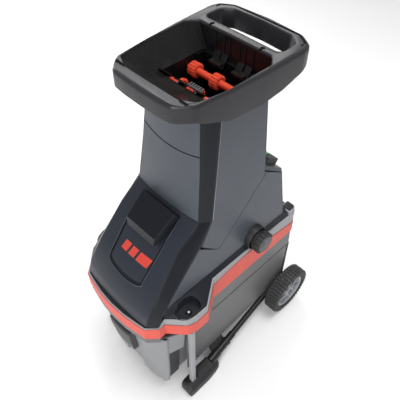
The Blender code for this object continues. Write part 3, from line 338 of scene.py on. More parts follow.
FINISH = {
    "hopper": finish("hopper_plastic", (0.019, 0.019, 0.022), 0.33, drift=0.1, relief=0.16, wear=0.3),
    "throat": finish("throat_plastic", (0.006, 0.006, 0.007), 0.3, dust=0.05, shine=0.3),
    "tower": finish("tower_plastic", (0.062, 0.07, 0.086), 0.4, drift=0.06, wear=0.3),
    "hood": finish("hood_plastic", (0.016, 0.02, 0.03), 0.3, drift=0.06, wear=0.45, coat=0.15),
    "pillar": finish("pillar_plastic", (0.0062, 0.0078, 0.0125), 0.34, drift=0.05, wear=0.45, shine=0.25),
    "ledge": finish("ledge_plastic", (0.28, 0.285, 0.3), 0.42, drift=0.05),
    "bin": finish("bin_plastic", (0.215, 0.218, 0.23), 0.4, drift=0.06),
    "wall": finish("wall_plastic", (0.11, 0.108, 0.112), 0.42, drift=0.06),
    # Dark grey for the grip, and painted shade for the sheets in the bin's side recess.
    "bin_dark": finish("bin_grip_and_painted_shade_plastic", (0.04, 0.04, 0.043), 0.48, drift=0.08),
    "red": finish("red_trim_plastic", (0.64, 0.075, 0.05), 0.45, drift=0.05, worn_and_lit_tone=RUBBED_AND_LIT_RED, wear=0.25),
    "feed_red": finish("red_feed_plastic", (0.68, 0.06, 0.024), 0.36, worn_and_lit_tone=(0.8, 0.25, 0.15), dust=0.08),
    "frame": finish("black_powder_coat", (0.012, 0.012, 0.013), 0.32, grain=1600, relief=0.2, worn_and_lit_tone=PRIMER),
    "inner": finish("inner_plastic", (0.016, 0.016, 0.017), 0.5),
    "soft": finish("black_grip_plastic", (0.022, 0.022, 0.024), 0.58, relief=0.25),
    "tyre": finish("tyre_plastic", (0.014, 0.014, 0.015), 0.62, relief=0.3, dust=0.06),
    "rim": finish("rim_plastic", (0.25, 0.26, 0.28), 0.36, drift=0.06),
    "steel": finish("turned_steel", BARE_STEEL, 0.28, metallic=1, drift=0.1, relief=0.05, scuffs=0.25),
    "cast": finish("cast_alloy", (0.4, 0.4, 0.41), 0.5, metallic=1, drift=0.14, grain=500, relief=0.35),
    "green": finish("green_button", (0.035, 0.3, 0.095), 0.32),
    "stop": finish("red_button", (0.56, 0.028, 0.022), 0.32),
    "badge": finish("red_badge_plastic", (0.56, 0.05, 0.035), 0.4, drift=0.04, worn_and_lit_tone=(0.7, 0.2, 0.15)),
    # A light tone for the pillar's bead, a painted highlight along that edge.
    "bead": finish("bead_painted_highlight_plastic", (0.24, 0.25, 0.27), 0.28, drift=0.04),
    # The band inside the sunk panel's edge is near-black painted shade.
    "groove": finish("panel_painted_shade_plastic", (0.004, 0.005, 0.008), 0.45, drift=0.04, shine=0.2),
    # A light tone painted as the highlight on the panel's edge.
    "panel_highlight_line": finish("panel_edge_painted_highlight_plastic", (0.07, 0.08, 0.1), 0.3, drift=0.04),
    "deck": finish("deck_plastic", (0.009, 0.011, 0.016), 0.36, drift=0.06),
    "strip": finish("lower_strip_plastic", (0.12, 0.12, 0.125), 0.45, drift=0.12),
    "face": finish("knob_face_plastic", (0.07, 0.07, 0.074), 0.45),
    # The tread is the tyre's black made lighter as a painted highlight on the blocks, with some dust.
    "tread": finish("tread_painted_highlight_plastic", (0.042, 0.042, 0.045), 0.58, relief=0.3, dust=0.08),
    # Near-black painted shade for the disc behind the wheel's spokes.
    "well": finish("wheel_well_plastic", (0.004, 0.004, 0.006), 0.6, shine=0.15),
}

WEARS = {
    "hopper": ("hopper_rim",),
    "throat": ("throat_frame", "feed_duct", "feed_funnel"),
    "tower": ("tower_front_upper", "tower_front_lower", "tower_side_left", "tower_side_right", "tower_back",
              "lower_side_left", "lower_side_right", "rear_cover"),
    "hood": ("motor_hood",),
    "pillar": ("corner_pillar_left", "corner_pillar_right", "hood_cowl"),
    "ledge": ("base_deck", "corner_post_left", "corner_post_right"),
    "bin": ("bin_body", "bin_front"),
    "strip": ("lower_rim",),
    "wall": ("side_wall_left", "side_wall_right", "rear_wall"),
    "red": ("trim_band",),
    "feed_red": ("rear_roller", "front_roller"),
    "frame": ("side_tube_left", "side_tube_right", "rear_leg_left", "rear_leg_right"),
    "inner": ("machine_floor", "mains_inlet"),
    "soft": ("front_foot_left", "front_foot_right", "bin_grip", "adjuster_knob", "direction_dial",
             "switch_housing", "run_capacitor"),
    "tyre": ("tyre_left", "tyre_right"),
    "rim": ("wheel_rim_left", "wheel_rim_right"),
    "steel": ("axle", "adjuster_screw", "cutter_drum", "drum_gear", "idler_gear", "motor_pinion",
              "motor_rotor", "drum_bearing_front", "drum_bearing_rear", "pressure_plate"),
    "cast": ("cutting_chamber", "gear_case", "motor_can"),
    "green": ("start_button",),
    "stop": ("stop_button",),
}


def welded_smooth_group():
    """Joins the frame's loose triangles and shades them smooth, ahead of a bevel."""
    tree = bpy.data.node_groups.new("welded_smooth", "GeometryNodeTree")
    tree.interface.new_socket("Geometry", in_out="INPUT", socket_type="NodeSocketGeometry")
    tree.interface.new_socket("Geometry", in_out="OUTPUT", socket_type="NodeSocketGeometry")
    given, out = tree.nodes.new("NodeGroupInput"), tree.nodes.new("NodeGroupOutput")
    weld = tree.nodes.new("GeometryNodeMergeByDistance")
    weld.inputs["Distance"].default_value = 0.00002
    smooth = tree.nodes.new("GeometryNodeSetShadeSmooth")
    tree.links.new(given.outputs[0], weld.inputs["Geometry"])
    tree.links.new(weld.outputs["Geometry"], smooth.inputs["Geometry"])
    tree.links.new(smooth.outputs["Geometry"], out.inputs[0])
    return tree


WELDED_SMOOTH = welded_smooth_group()
ROUND_SEGMENTS, SHARP_DEGREES = 3, 28.0


def softened(thing, width):
    """Every sharp edge rounded, and the whole shaded true to its large faces."""
    weld = thing.modifiers.new("weld", "NODES")
    weld.node_group = WELDED_SMOOTH
    edge = thing.modifiers.new("edges", "BEVEL")
    edge.width, edge.segments, edge.limit_method = width, ROUND_SEGMENTS, "ANGLE"
    edge.angle_limit = math.radians(SHARP_DEGREES)
    edge.use_clamp_overlap = True
    shade = thing.modifiers.new("shading", "WEIGHTED_NORMAL")
    shade.weight, shade.keep_sharp = 80, False


EDGE = {
    "hopper": 0.0025, "throat": 0.0006, "tower": 0.001, "hood": 0.0016, "pillar": 0.001, "ledge": 0.0014,
    "bin": 0.0016, "strip": 0.0008, "wall": 0.001, "red": 0.0006, "feed_red": 0.0006, "frame": 0.001,
    "inner": 0.0006, "soft": 0.0012, "tyre": 0.0015, "rim": 0.0008, "steel": 0.0003, "cast": 0.0008,
    "green": 0.0006, "stop": 0.0006,
}


def finish_frame_nodes():
    """Gives every frame node its material and its rounded edges."""
    for family, names in WEARS.items():
        for name in names:
            node = NODES[name]
            node.data.materials.clear()
            node.data.materials.append(FINISH[family])
            softened(node, EDGE[family])


finish_frame_nodes()


# ---------------------------------------------------------------- modelling tools
def linked(name, mesh, family, body=CHASSIS, edge=None, replaced=()):
    """A finished piece: its mesh, its material, its rounded edges, and the body that carries it."""
    piece = bpy.data.objects.new(name, mesh)
    bpy.context.scene.collection.objects.link(piece)
    mesh.materials.clear()
    mesh.materials.append(FINISH[family])
    if edge:
        softened(piece, edge)
    else:
        mesh.shade_smooth()
        mesh.set_sharp_from_angle(angle=math.radians(35))
    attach(piece, body)
    if replaced:
        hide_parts(*replaced)


def linked_pair(prefix, make, family, body=CHASSIS, edge=None, replaced=None):
    """A piece and its mirror; prefix, replaced and a body that ends in _ take the side's name."""
    for side, mesh in (("right", make()), ("left", moved(make(), MIRROR))):
        carrier = body + side if body.endswith("_") else body
        linked(prefix + side, mesh, family, carrier, edge, (replaced + side,) if replaced else ())


def mesh_from(bm):
    """A mesh of the faces drawn so far, with touching points joined and all faces turned outwards."""
    bmesh.ops.remove_doubles(bm, verts=bm.verts, dist=0.000002)
    bmesh.ops.recalc_face_normals(bm, faces=bm.faces)
    mesh = bpy.data.meshes.new("piece")
    bm.to_mesh(mesh)
    bm.free()
    return mesh


def loft(loops, caps=True, wrap=True):
    """Skin over loops with equal counts of points; wrap closes each loop, caps closes the ends."""
    bm = bmesh.new()
    rows = [[bm.verts.new(point) for point in loop] for loop in loops]
    count = len(rows[0])
    for above, below in zip(rows, rows[1:]):
        for i in range(count if wrap else count - 1):
            j = (i + 1) % count
            bm.faces.new((above[i], above[j], below[j], below[i]))
    if caps:
        bm.faces.new(rows[0])
        bm.faces.new(rows[-1])
    return mesh_from(bm)


def ring_of(sections):
    """A closed ring swept through the outlines that stand round it."""
    return loft([*sections, sections[0]], caps=False)


def level(outline, z):
    return [(x, y, z) for x, y in outline]


def prism(outline, low, high):
    """A flat outline (x, y) raised from one height to another."""
    return loft([level(outline, low), level(outline, high)])


def block(low, high):
    (x0, y0, z0), (x1, y1, z1) = low, high
    return prism([(x0, y0), (x1, y0), (x1, y1), (x0, y1)], z0, z1)


def tube(points, radius, sides=14):
    """A round bar along a line of points; radius is one number or one for each point."""
    points = [Vector(p) for p in points]
    radii = radius if isinstance(radius, (list, tuple)) else [radius] * len(points)
    loops = []
    across = None
    for i, point in enumerate(points):
        along = (points[min(i + 1, len(points) - 1)] - points[max(i - 1, 0)]).normalized()
        if across is None:
            across = along.orthogonal().normalized()
        across = (across - along * across.dot(along)).normalized()
        up = along.cross(across)
        turn = [math.tau * k / sides for k in range(sides)]
        loops.append([point + (across * math.cos(a) + up * math.sin(a)) * radii[i] for a in turn])
    return loft(loops)


def spun(profile, centre, axis=ACROSS, steps=48, closed=True):
    """A profile of (radius, along) turned about an axis through centre; closed joins its two ends."""
    along = Vector(axis).normalized()
    across = along.orthogonal().normalized()
    up = along.cross(across)
    loops = []
    for k in range(steps):
        a = math.tau * k / steps
        out = across * math.cos(a) + up * math.sin(a)
        loops.append([Vector(centre) + out * r + along * h for r, h in profile])
    return loft([*loops, loops[0]], caps=False, wrap=closed)


def joined(*meshes):
    """Several meshes as one, each still closed on its own."""
    bm = bmesh.new()
    for mesh in meshes:
        bm.from_mesh(mesh)
        bpy.data.meshes.remove(mesh)
    mesh = bpy.data.meshes.new("piece")
    bm.to_mesh(mesh)
    bm.free()
    return mesh


MIRROR = Matrix.Scale(-1, 4, ACROSS)


def moved(mesh, matrix):
    """The mesh carried elsewhere; a mirror turns its faces the right way round again."""
    mesh.transform(matrix)
    if matrix.determinant() < 0:
        mesh.flip_normals()
    return mesh


def mirrored(points):
    """A half outline (x >= 0, front to rear) completed on the other side."""
    return [*points, *[(-p[0], *p[1:]) for p in reversed(points) if abs(p[0]) > 1e-6]]


def rounded_corners(outline, radius, steps=4):
    """The outline with each corner turned into a short curve."""
    made = []
    count = len(outline)
    for i, corner in enumerate(outline):
        corner = Vector(corner)
        before = Vector(outline[i - 1]) - corner
        after = Vector(outline[(i + 1) % count]) - corner
        reach = min(radius, before.length * 0.45, after.length * 0.45)
        start, end = corner + before.normalized() * reach, corner + after.normalized() * reach
        for k in range(steps + 1):
            t = k / steps
            made.append(tuple(start * (1 - t) ** 2 + corner * 2 * t * (1 - t) + end * t * t))
    return made


def inset(outline, distance):
    """The outline moved inwards, or outwards where the distance is negative."""
    points = [Vector(p) for p in outline]
    area = sum(a.x * b.y - b.x * a.y for a, b in zip(points, [*points[1:], points[0]]))
    side = 1 if area > 0 else -1
    made = []
    for i, point in enumerate(points):
        before = (point - points[i - 1]).normalized()
        after = (points[(i + 1) % len(points)] - point).normalized()
        inward = Vector((-before.y, before.x)) * side, Vector((-after.y, after.x)) * side
        middle = (inward[0] + inward[1]).normalized()
        made.append(tuple(point + middle * (distance / max(0.5, middle.dot(inward[0])))))
    return made


def ribbon(line, half):
    """The outline of a band of even width along an open line in plan."""
    left, right = [], []
    for i, point in enumerate(line):
        point = Vector(point)
        along = Vector(line[min(i + 1, len(line) - 1)]) - Vector(line[max(i - 1, 0)])
        across = Vector((-along.y, along.x)).normalized() * half
        left.append(tuple(point + across))
        right.append(tuple(point - across))
    return [*left, *reversed(right)]


def smooth_line(points, steps):
    """Catmull-Rom points through the given ones."""
    points = [Vector(p) for p in points]
    padded = [points[0] * 2 - points[1], *points, points[-1] * 2 - points[-2]]
    line = []
    for a, b, c, d in zip(padded, padded[1:], padded[2:], padded[3:]):
        square, cube = 2 * a - 5 * b + 4 * c - d, 3 * b - a - 3 * c + d
        for k in range(steps):
            t = k / steps
            line.append(0.5 * (2 * b + (c - a) * t + square * t * t + cube * t ** 3))
    return [*line, points[-1]]


def carve(mesh, cutters, operation="DIFFERENCE", solver="EXACT"):
    """Cuts helper meshes out of a mesh, or joins them to it."""
    scene = bpy.context.scene.collection
    body = bpy.data.objects.new("carving", mesh)
    scene.objects.link(body)
    helpers = []
    for cutter in cutters:
        helper = bpy.data.objects.new("cutter", cutter)
        scene.objects.link(helper)
        helpers.append(helper)
        step = body.modifiers.new("carve", "BOOLEAN")
        step.operation, step.object, step.solver = operation, helper, solver
    bpy.context.view_layer.update()
    graph = bpy.context.evaluated_depsgraph_get()
    made = bpy.data.meshes.new_from_object(body.evaluated_get(graph), depsgraph=graph)
    for thing in (body, *helpers):
        bpy.data.objects.remove(thing, do_unlink=True)
    return made


SURFACES = {}  # node: its surface, for casting rays


def on_surface(node, start, direction):
    """Where a ray first meets a frame node, and the outward normal there."""
    if node not in SURFACES:
        mesh = NODES[node].data
        points, faces = [v.co for v in mesh.vertices], [p.vertices for p in mesh.polygons]
        SURFACES[node] = BVHTree.FromPolygons(points, faces)
    place, normal, _, _ = SURFACES[node].ray_cast(Vector(start), Vector(direction).normalized())
    if place is None:
        raise ValueError(f"no surface of {node} in front of {start}")
    return place, normal


def screw(name, place, out, radius=0.0045):
    """A pan-head screw with a cross recess."""
    out = Vector(out).normalized()
    dome = [(0.0, 0.0018), (radius * 0.6, 0.0017), (radius * 0.92, 0.0011), (radius, 0.0)]
    head = spun([*dome, (radius, -0.0015), (0.0, -0.0015)], place, out, steps=24, closed=False)
    seat = Matrix.Translation(place) @ out.to_track_quat("Z", "X").to_matrix().to_4x4()
    long, short = radius * 0.62, radius * 0.13
    cross = [moved(block((-x, -y, 0.0005), (x, y, 0.004)), seat) for x, y in ((long, short), (short, long))]
    linked(name, carve(head, cross), "steel")


# ---------------------------------------------------------------- hopper
RIM_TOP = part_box("hopper_rim")[1].z
RIM_PLATE, SKIRT, HANDLE_DEPTH = 0.006, 0.003, 0.046
RIM_CORNER, HANDLE_CORNER, MOUTH_CORNER, FLARE = 0.01, 0.008, 0.006, 0.003
# Half outlines in plan, (x, y) from the front to the rear.
RIM_OUTLINE = (
    (0.0, -0.1505), (0.045, -0.1495), (0.083, -0.146), (0.1135, -0.113), (0.1225, -0.04),
    (0.131, 0.06), (0.135, 0.17), (0.128, 0.193), (0.095, 0.214), (0.0, 0.22),
)
RIM_OPENING = (
    (0.0, -0.121), (0.072, -0.1205), (0.106, -0.105), (0.118, -0.04),
    (0.12, 0.08), (0.102, 0.104), (0.0, 0.105),
)
HANDLE_HOLE = (
    (0.0, 0.126), (0.097, 0.1245), (0.106, 0.134), (0.104, 0.176), (0.08, 0.193), (0.0, 0.1975),
)
THROAT_MOUTH = (
    (0.0, -0.03), (0.055, -0.03), (0.08, -0.029), (0.086, -0.015),
    (0.086, 0.095), (0.08, 0.106), (0.0, 0.106),
)
# The rim's rounded edge: how far in from the outline, how far below the top.
RIM_ROUND = (
    (0.0085, 0.0), (0.0055, 0.0004), (0.003, 0.0018), (0.0012, 0.0042), (0.0003, 0.0072), (0.0, 0.0105),
)
# The skirt's lower edge and the waste below it, seen from the side: (y, z).
SKIRT_CUT = (
    (-0.2, 0.921), (-0.112, 0.921), (-0.09, 0.91), (-0.031, 0.889), (0.05, 0.886),
    (0.11, 0.893), (0.2, 0.92), (0.23, 0.925), (0.23, 0.84), (-0.2, 0.84),
)
HANDLE_GROOVE = (
    (-0.119, 0.174), (-0.1175, 0.187), (-0.0905, 0.2055),
    (0.0905, 0.2055), (0.1175, 0.187), (0.119, 0.174),
)
LIP_START, LIP_END, LIP_FALL = -0.144, -0.119, 0.0045
HOOK_X, HOOK_Y, HOOK_DEPTH = 0.07, 0.1125, 0.012


def hopper_solid():
    """Rim plate and skirt with a full round on the outer edge."""
    outline = rounded_corners(mirrored(RIM_OUTLINE), RIM_CORNER)
    rows = [level(inset(outline, depth), RIM_TOP - drop) for depth, drop in RIM_ROUND]
    rows.append(level(outline, 0.86))
    wall, plate = inset(outline, SKIRT), RIM_TOP - RIM_PLATE
    hollow = loft([level(inset(outline, 0.01), plate), level(wall, plate - 0.007), level(wall, 0.85)])
    below = loft([[(x, y, z) for y, z in SKIRT_CUT] for x in (-0.2, 0.2)])
    return carve(loft(rows), [hollow, below])


def flared_hole(outline, radius):
    """A cutter for a hole whose upper edge is rounded over."""
    outline = rounded_corners(mirrored(outline), radius)
    rows = [level(inset(outline, -FLARE * 1.6), RIM_TOP + 0.004)]
    for share, drop in ((1.0, 0.0), (0.55, 0.15), (0.2, 0.5), (0.0, 1.0)):
        rows.append(level(inset(outline, -FLARE * share), RIM_TOP - FLARE * drop))
    rows.append(level(outline, 0.84))
    return loft(rows)


def lip_cutter():
    """The front lip falls away towards the opening."""
    half = ((0.08, LIP_START), (0.093, -0.133), (0.102, LIP_END))
    plan = [*[(-x, y) for x, y in (half[1], half[0])], *half, (-half[2][0], LIP_END)]
    slope = LIP_FALL / (LIP_END - LIP_START)
    low = [(x, y, RIM_TOP + 0.0002 - slope * (y - LIP_START)) for x, y in plan]
    return loft([low, level(plan, RIM_TOP + 0.01)])


def hook_cutter(x):
    """A keyhole notch over the rear wall of the mouth."""
    foot, head = RIM_TOP - HOOK_DEPTH, RIM_TOP + 0.01
    stem = block((x - 0.003, HOOK_Y - 0.0115, foot), (x + 0.003, HOOK_Y, head))
    return stem, tube([(x, HOOK_Y, foot), (x, HOOK_Y, head)], 0.0052)


def hopper_shell():
    """Rim, skirt and handle loop in one, with the mouth, the hand hole, the groove and the hook notches."""
    sleeve_plan = inset(rounded_corners(mirrored(HANDLE_HOLE), HANDLE_CORNER), -SKIRT)
    sleeve = loft([level(sleeve_plan, RIM_TOP - HANDLE_DEPTH), level(sleeve_plan, RIM_TOP - SKIRT)])
    rim = carve(hopper_solid(), [flared_hole(RIM_OPENING, MOUTH_CORNER)])
    rim = carve(rim, [sleeve], "UNION")
    groove = loft([level(ribbon(HANDLE_GROOVE, 0.0027), RIM_TOP - 0.0045),
                   level(ribbon(HANDLE_GROOVE, 0.0033), RIM_TOP + 0.004)])
    hand_hole = flared_hole(HANDLE_HOLE, HANDLE_CORNER)
    cutters = [hand_hole, lip_cutter(), groove, *hook_cutter(HOOK_X), *hook_cutter(-HOOK_X)]
    linked("hopper_shell", carve(rim, cutters), "hopper", replaced=("hopper_rim",))


def funnel_walls():
    """The sloping walls from under the rim down to the throat."""
    top, low = inset(mirrored(RIM_OPENING), -0.0008), mirrored(THROAT_MOUTH)
    z_top, z_low = RIM_TOP - RIM_PLATE + 0.0006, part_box("feed_funnel")[0].z
    rows, outer = [], []
    for share in (0.0, 0.35, 0.7, 1.0):
        z = z_top + (z_low - z_top) * share - math.sin(share * math.pi) * 0.004
        plan = [(a[0] + (b[0] - a[0]) * share, a[1] + (b[1] - a[1]) * share) for a, b in zip(top, low)]
        rows.append(level(plan, z))
        outer.append(level(inset(plan, -0.0025), z))
    walls = loft([*rows, *reversed(outer), rows[0]], caps=False)
    linked("funnel_walls", walls, "throat", replaced=("feed_funnel",))


RIB_X = (-0.05, -0.026, -0.01, 0.018, 0.034, 0.056)
CORNER_BEAD = ((0.105, 0.0985, 0.95), (0.0945, 0.0995, 0.925), (0.0835, 0.101, 0.902))


def funnel_ribs():
    """Upright ribs on the mouth's rear wall, and a bead down each rear corner."""
    ribs = []
    for x in RIB_X:
        line = [(x, 0.104, 0.95), (x, 0.104, 0.925), (x, 0.105, 0.903)]
        ribs.append(tube(line, [0.0009, 0.0014, 0.0009], sides=8))
    for side in (1, -1):
        line = [(side * x, y, z) for x, y, z in CORNER_BEAD]
        ribs.append(tube(line, [0.0015, 0.0026, 0.0015], sides=8))
    linked("funnel_ribs", joined(*ribs), "throat")


def tongue(x, half, root, tip, thick=0.0026):
    """A sloping finger of the throat: root and tip are (y, z)."""
    loops = []
    for share, shrink in ((0.0, 1.0), (0.8, 0.94), (1.0, 0.72)):
        y = root[0] + (tip[0] - root[0]) * share
        z = root[1] + (tip[1] - root[1]) * share
        w = half * shrink
        loops.append([(x - w, y, z - thick), (x + w, y, z - thick), (x + w, y, z), (x - w, y, z)])
    return loft(loops)


REAR_TONGUES, REAR_TONGUE_HALF = (-0.045, -0.0235, 0.0235, 0.045), 0.0085
SCRAPER_TEETH, TOOTH_PITCH, TOOTH_WIDE = 6, 0.0068, 0.0042


def throat_tongues():
    """Fingers that hang into the throat from its rear and front edges."""
    meshes = [tongue(x, REAR_TONGUE_HALF, (0.1062, 0.91), (0.09, 0.884), 0.004) for x in REAR_TONGUES]
    meshes += [tongue(x, 0.012, (-0.03, 0.9075), (-0.0095, 0.8915)) for x in (-0.026, 0.026)]
    meshes += [tongue(x, 0.012, (-0.029, 0.9075), (-0.009, 0.89)) for x in (0.074, -0.074)]
    meshes.append(tongue(0.0, 0.013, (-0.03, 0.9078), (-0.015, 0.896)))
    linked("throat_tongues", joined(*meshes), "throat", edge=0.0006)
    half = REAR_TONGUE_HALF * 0.9
    lips = [block((x - half, 0.088, 0.8835), (x + half, 0.0896, 0.885)) for x in REAR_TONGUES]
    linked("tongue_lips", joined(*lips), "soft", edge=0.0003)


def scraper_strips():
    """The toothed strip over the middle of the front roller."""
    pieces = [block((-0.0215, -0.01, 0.8885), (0.0215, -0.005, 0.89))]
    for k in range(SCRAPER_TEETH):
        x = TOOTH_PITCH * k - 0.02
        pieces.append(block((x, -0.006, 0.888), (x + TOOTH_WIDE, 0.003, 0.8905)))
    linked("scraper_strips", joined(*pieces), "pillar", edge=0.0003)


FLUTES, FLUTE_STEPS, FLUTE_DEPTH = 14, 8, 0.0021
ROLLER_RADIUS, ROLLER_HALF, JOURNAL_RADIUS = 0.0172, 0.0808, 0.0049


def collar_mesh(centre, y, z, width):
    """A fluted collar with chamfered ends, on a shaft along x."""
    rows = []
    half, count = width / 2, FLUTES * FLUTE_STEPS
    for x, cut in ((-half, 0.0024), (0.0016 - half, 0.0002), (half - 0.0016, 0.0002), (half, 0.0024)):
        ring = []
        for k in range(count):
            a = math.tau * k / count
            r = ROLLER_RADIUS - cut - FLUTE_DEPTH * max(0.0, math.cos(a * FLUTES)) ** 0.5
            ring.append((centre + x, y + r * math.cos(a), z + r * math.sin(a)))
        rows.append(ring)
    return loft(rows)


def feed_rollers():
    """Both rollers: a shaft with its journals and three fluted collars."""
    for end, reach, width, shaft in (("rear", 0.066, 0.0215, 0.008), ("front", 0.05, 0.0095, 0.0068)):
        low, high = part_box(end + "_roller")
        y, z = (low.y + high.y) / 2, (low.z + high.z) / 2
        pieces = [tube([(-ROLLER_HALF, y, z), (ROLLER_HALF, y, z)], shaft, sides=32)]
        pieces.append(tube([(low.x, y, z), (high.x, y, z)], JOURNAL_RADIUS, sides=20))
        pieces += [collar_mesh(x, y, z, width) for x in (-reach, 0.0, reach)]
        linked("feed_roller_" + end, joined(*pieces), "feed_red", "roller_" + end,
               replaced=(end + "_roller",))


hopper_shell()
funnel_walls()
funnel_ribs()
throat_tongues()
scraper_strips()
feed_rollers()


# ---------------------------------------------------------------- motor hood and tower lines
HOOD_OUT = Vector((0.0, -0.62, 0.785))  # out of the sloping hood
PANEL_SIDE = ((0.4775, 0.0615), (0.563, 0.065), (0.618, 0.06))  # z and half width of the sunk panel
PANEL_DEPTH = 0.0019
BAND_LOW, BAND_HIGH = -0.003, -0.0014  # the band of painted shade along the panel's edge, from the hood's surface
BAR_Z, BAR_TALL, BAR_LEAN = 0.517, 0.0195, 0.0055
BARS = ((-0.04, -0.02), (-0.013, 0.007), (0.014, 0.052))


def clean_copy(node):
    """A frame node's mesh with its loose triangles joined."""
    bm = bmesh.new()
    bm.from_mesh(NODES[node].data)
    bmesh.ops.remove_doubles(bm, verts=bm.verts, dist=0.00002)
    bmesh.ops.recalc_face_normals(bm, faces=bm.faces)
    mesh = bpy.data.meshes.new("copy")
    bm.to_mesh(mesh)
    bm.free()
    return mesh


def hood_point(x, z):
    return on_surface("motor_hood", (x, -0.6, z), (0, 1, 0))[0]


def draped(columns, low, high):
    """A slab over the hood: columns is a grid of (x, z), low and high the lift of its faces."""
    bm = bmesh.new()
    wide, tall = len(columns), len(columns[0])
    grids = []
    for lift in (low, high):
        grid = [[bm.verts.new(hood_point(x, z) + HOOD_OUT * lift) for x, z in column] for column in columns]
        for i in range(wide - 1):
            for j in range(tall - 1):
                bm.faces.new((grid[i][j], grid[i + 1][j], grid[i + 1][j + 1], grid[i][j + 1]))
        grids.append(grid)
    rim = [(i, 0) for i in range(wide)] + [(wide - 1, j) for j in range(1, tall)]
    rim += [(i, tall - 1) for i in range(wide - 2, -1, -1)] + [(0, j) for j in range(tall - 2, 0, -1)]
    for (a, b), (c, d) in zip(rim, [*rim[1:], rim[0]]):
        bm.faces.new((grids[0][a][b], grids[0][c][d], grids[1][c][d], grids[1][a][b]))
    return mesh_from(bm)


def between(table, z):
    """Reads a rising table of (z, value)."""
    for (z0, a), (z1, b) in zip(table, table[1:]):
        if z <= z1:
            return a + (b - a) * (z - z0) / (z1 - z0)
    return table[-1][1]


def panel_columns():
    """The sunk panel as a grid of (x, z), its foot bowed downwards."""
    (low, _), (high, _) = PANEL_SIDE[0], PANEL_SIDE[-1]
    columns = []
    for i in range(15):
        u = i / 7 - 1
        foot = low - 0.0075 * (1 - u ** 2) + 0.004 * abs(u) ** 12
        heights = [foot + (high - foot) * k / 8 for k in range(9)]
        columns.append([(u * between(PANEL_SIDE, max(z, low)), z) for z in heights])
    return columns


def hood_shell():
    """The hood with its sunk panel, a band of painted shade inside the panel's edge and a line of painted
    highlight round it.
    """
    columns = panel_columns()
    cut = carve(clean_copy("motor_hood"), [draped(columns, -PANEL_DEPTH, 0.006)])
    linked("hood_shell", cut, "hood", edge=0.0008, replaced=("motor_hood",))
    feet = [column[0] for column in columns]
    foot_band = [[(x, z), (x * 0.985, z + 0.0042), (x * 0.97, z + 0.0084)] for x, z in feet]
    left, right = columns[0], columns[-1]
    left_band = [left, [(x * 0.92, z + 0.001) for x, z in left]]
    right_band = [[(x * 0.92, z + 0.001) for x, z in right], right]
    bands = [draped(band, BAND_LOW, BAND_HIGH) for band in (foot_band, left_band, right_band)]
    # Dark strips of painted shade along the panel's foot and sides.
    linked("panel_painted_shade", joined(*bands), "groove")
    border = [*reversed(left), *feet[1:-1], *right]
    line = [hood_point(x * 1.012, z - 0.0007) - HOOD_OUT * 0.0001 for x, z in border]
    # A light line round the panel, a painted highlight of its edge.
    linked("panel_highlight_line", tube(line, 0.0006, sides=8), "panel_highlight_line")


def red_bars():
    """A plain row of slanted bars on the sunk panel."""
    bars = []
    for start, end in BARS:
        feet = [start + (end - start) * i / 5 for i in range(6)]
        columns = [[(x + BAR_LEAN * k / 3, BAR_Z + BAR_TALL * k / 3) for k in range(4)] for x in feet]
        bars.append(draped(columns, -PANEL_DEPTH - 0.0004, -PANEL_DEPTH + 0.0007))
    linked("red_bars", joined(*bars), "badge", edge=0.0003)


# The tower's corner pillar upwards, in plan: height, corner to the front panel, corner to the side.
PILLAR = (
    (0.6273, (0.1033, -0.0998), (0.1205, -0.0706)), (0.753, (0.0921, -0.0834), (0.1098, -0.0502)),
    (0.9045, (0.0787, -0.0689), (0.0963, -0.0264)),
)
# The hood's shoulder, from the tower down to the ledge: front corner and side corner, (x, y, z).
SHOULDER = (
    ((0.1033, -0.0998, 0.6262), (0.1212, -0.0702, 0.6262)),
    ((0.1048, -0.13, 0.604), (0.1238, -0.0934, 0.595)),
    ((0.1058, -0.16, 0.5812), (0.1262, -0.1166, 0.5637)),
    ((0.1083, -0.1965, 0.5386), (0.129, -0.1523, 0.5313)),
    ((0.1108, -0.233, 0.4961), (0.1318, -0.188, 0.4991)),
    ((0.1125, -0.254, 0.463), (0.1339, -0.2164, 0.4717)),
    ((0.1138, -0.275, 0.4301), (0.136, -0.2448, 0.4444)),
    ((0.1132, -0.2855, 0.3996), (0.1365, -0.2618, 0.3996)),
)
SKIN_STEPS = 8


def swell(i, low, height):
    """How far the skin stands out at one of its points: little at the front corner, most near the side."""
    return low + height * math.sin(math.pi * (0.06 + 0.5 * i / SKIN_STEPS))


def skin_row(a, b, out, lifts, under):
    """One row of a corner's skin: from a to b lifted outwards, and back just below the surface."""
    over = [a.lerp(b, i / SKIN_STEPS) + out * lift for i, lift in enumerate(lifts)]
    return [*over, *[a.lerp(b, i / SKIN_STEPS) - out * under for i in range(SKIN_STEPS, -1, -1)]]


def pillar_mesh():
    """The rounded dark corner between the tower's front and its side, swelling a little over its flat."""
    eased = [min(1.0, i / 1.5, (SKIN_STEPS + 0.4 - i) / 1.2) for i in range(SKIN_STEPS + 1)]
    lifts = [swell(i, 0.0016, 0.0026) * ease for i, ease in enumerate(eased)]
    rows = []
    for z, front, side in PILLAR:
        a, b = Vector((*front, z)), Vector((*side, z))
        out = Vector((b.y - a.y, a.x - b.x, 0.0)).normalized()
        rows.append(skin_row(a, b, out, lifts, 0.001))
    return loft(rows)


def shoulder_mesh():
    """The same rounded corner carried on down the hood."""
    lifts = [0.0001, *[swell(i, 0.0012, 0.0022) for i in range(1, SKIN_STEPS)], 0.0006]
    rows = []
    for k, (front, side) in enumerate(SHOULDER):
        a, b = Vector(front), Vector(side)
        before, after = SHOULDER[max(0, k - 1)][0], SHOULDER[min(len(SHOULDER) - 1, k + 1)][0]
        out = (b - a).cross(Vector(before) - Vector(after)).normalized()
        rows.append(skin_row(a, b, out if out.x > 0 else -out, lifts, 0.0014))
    return loft(rows)


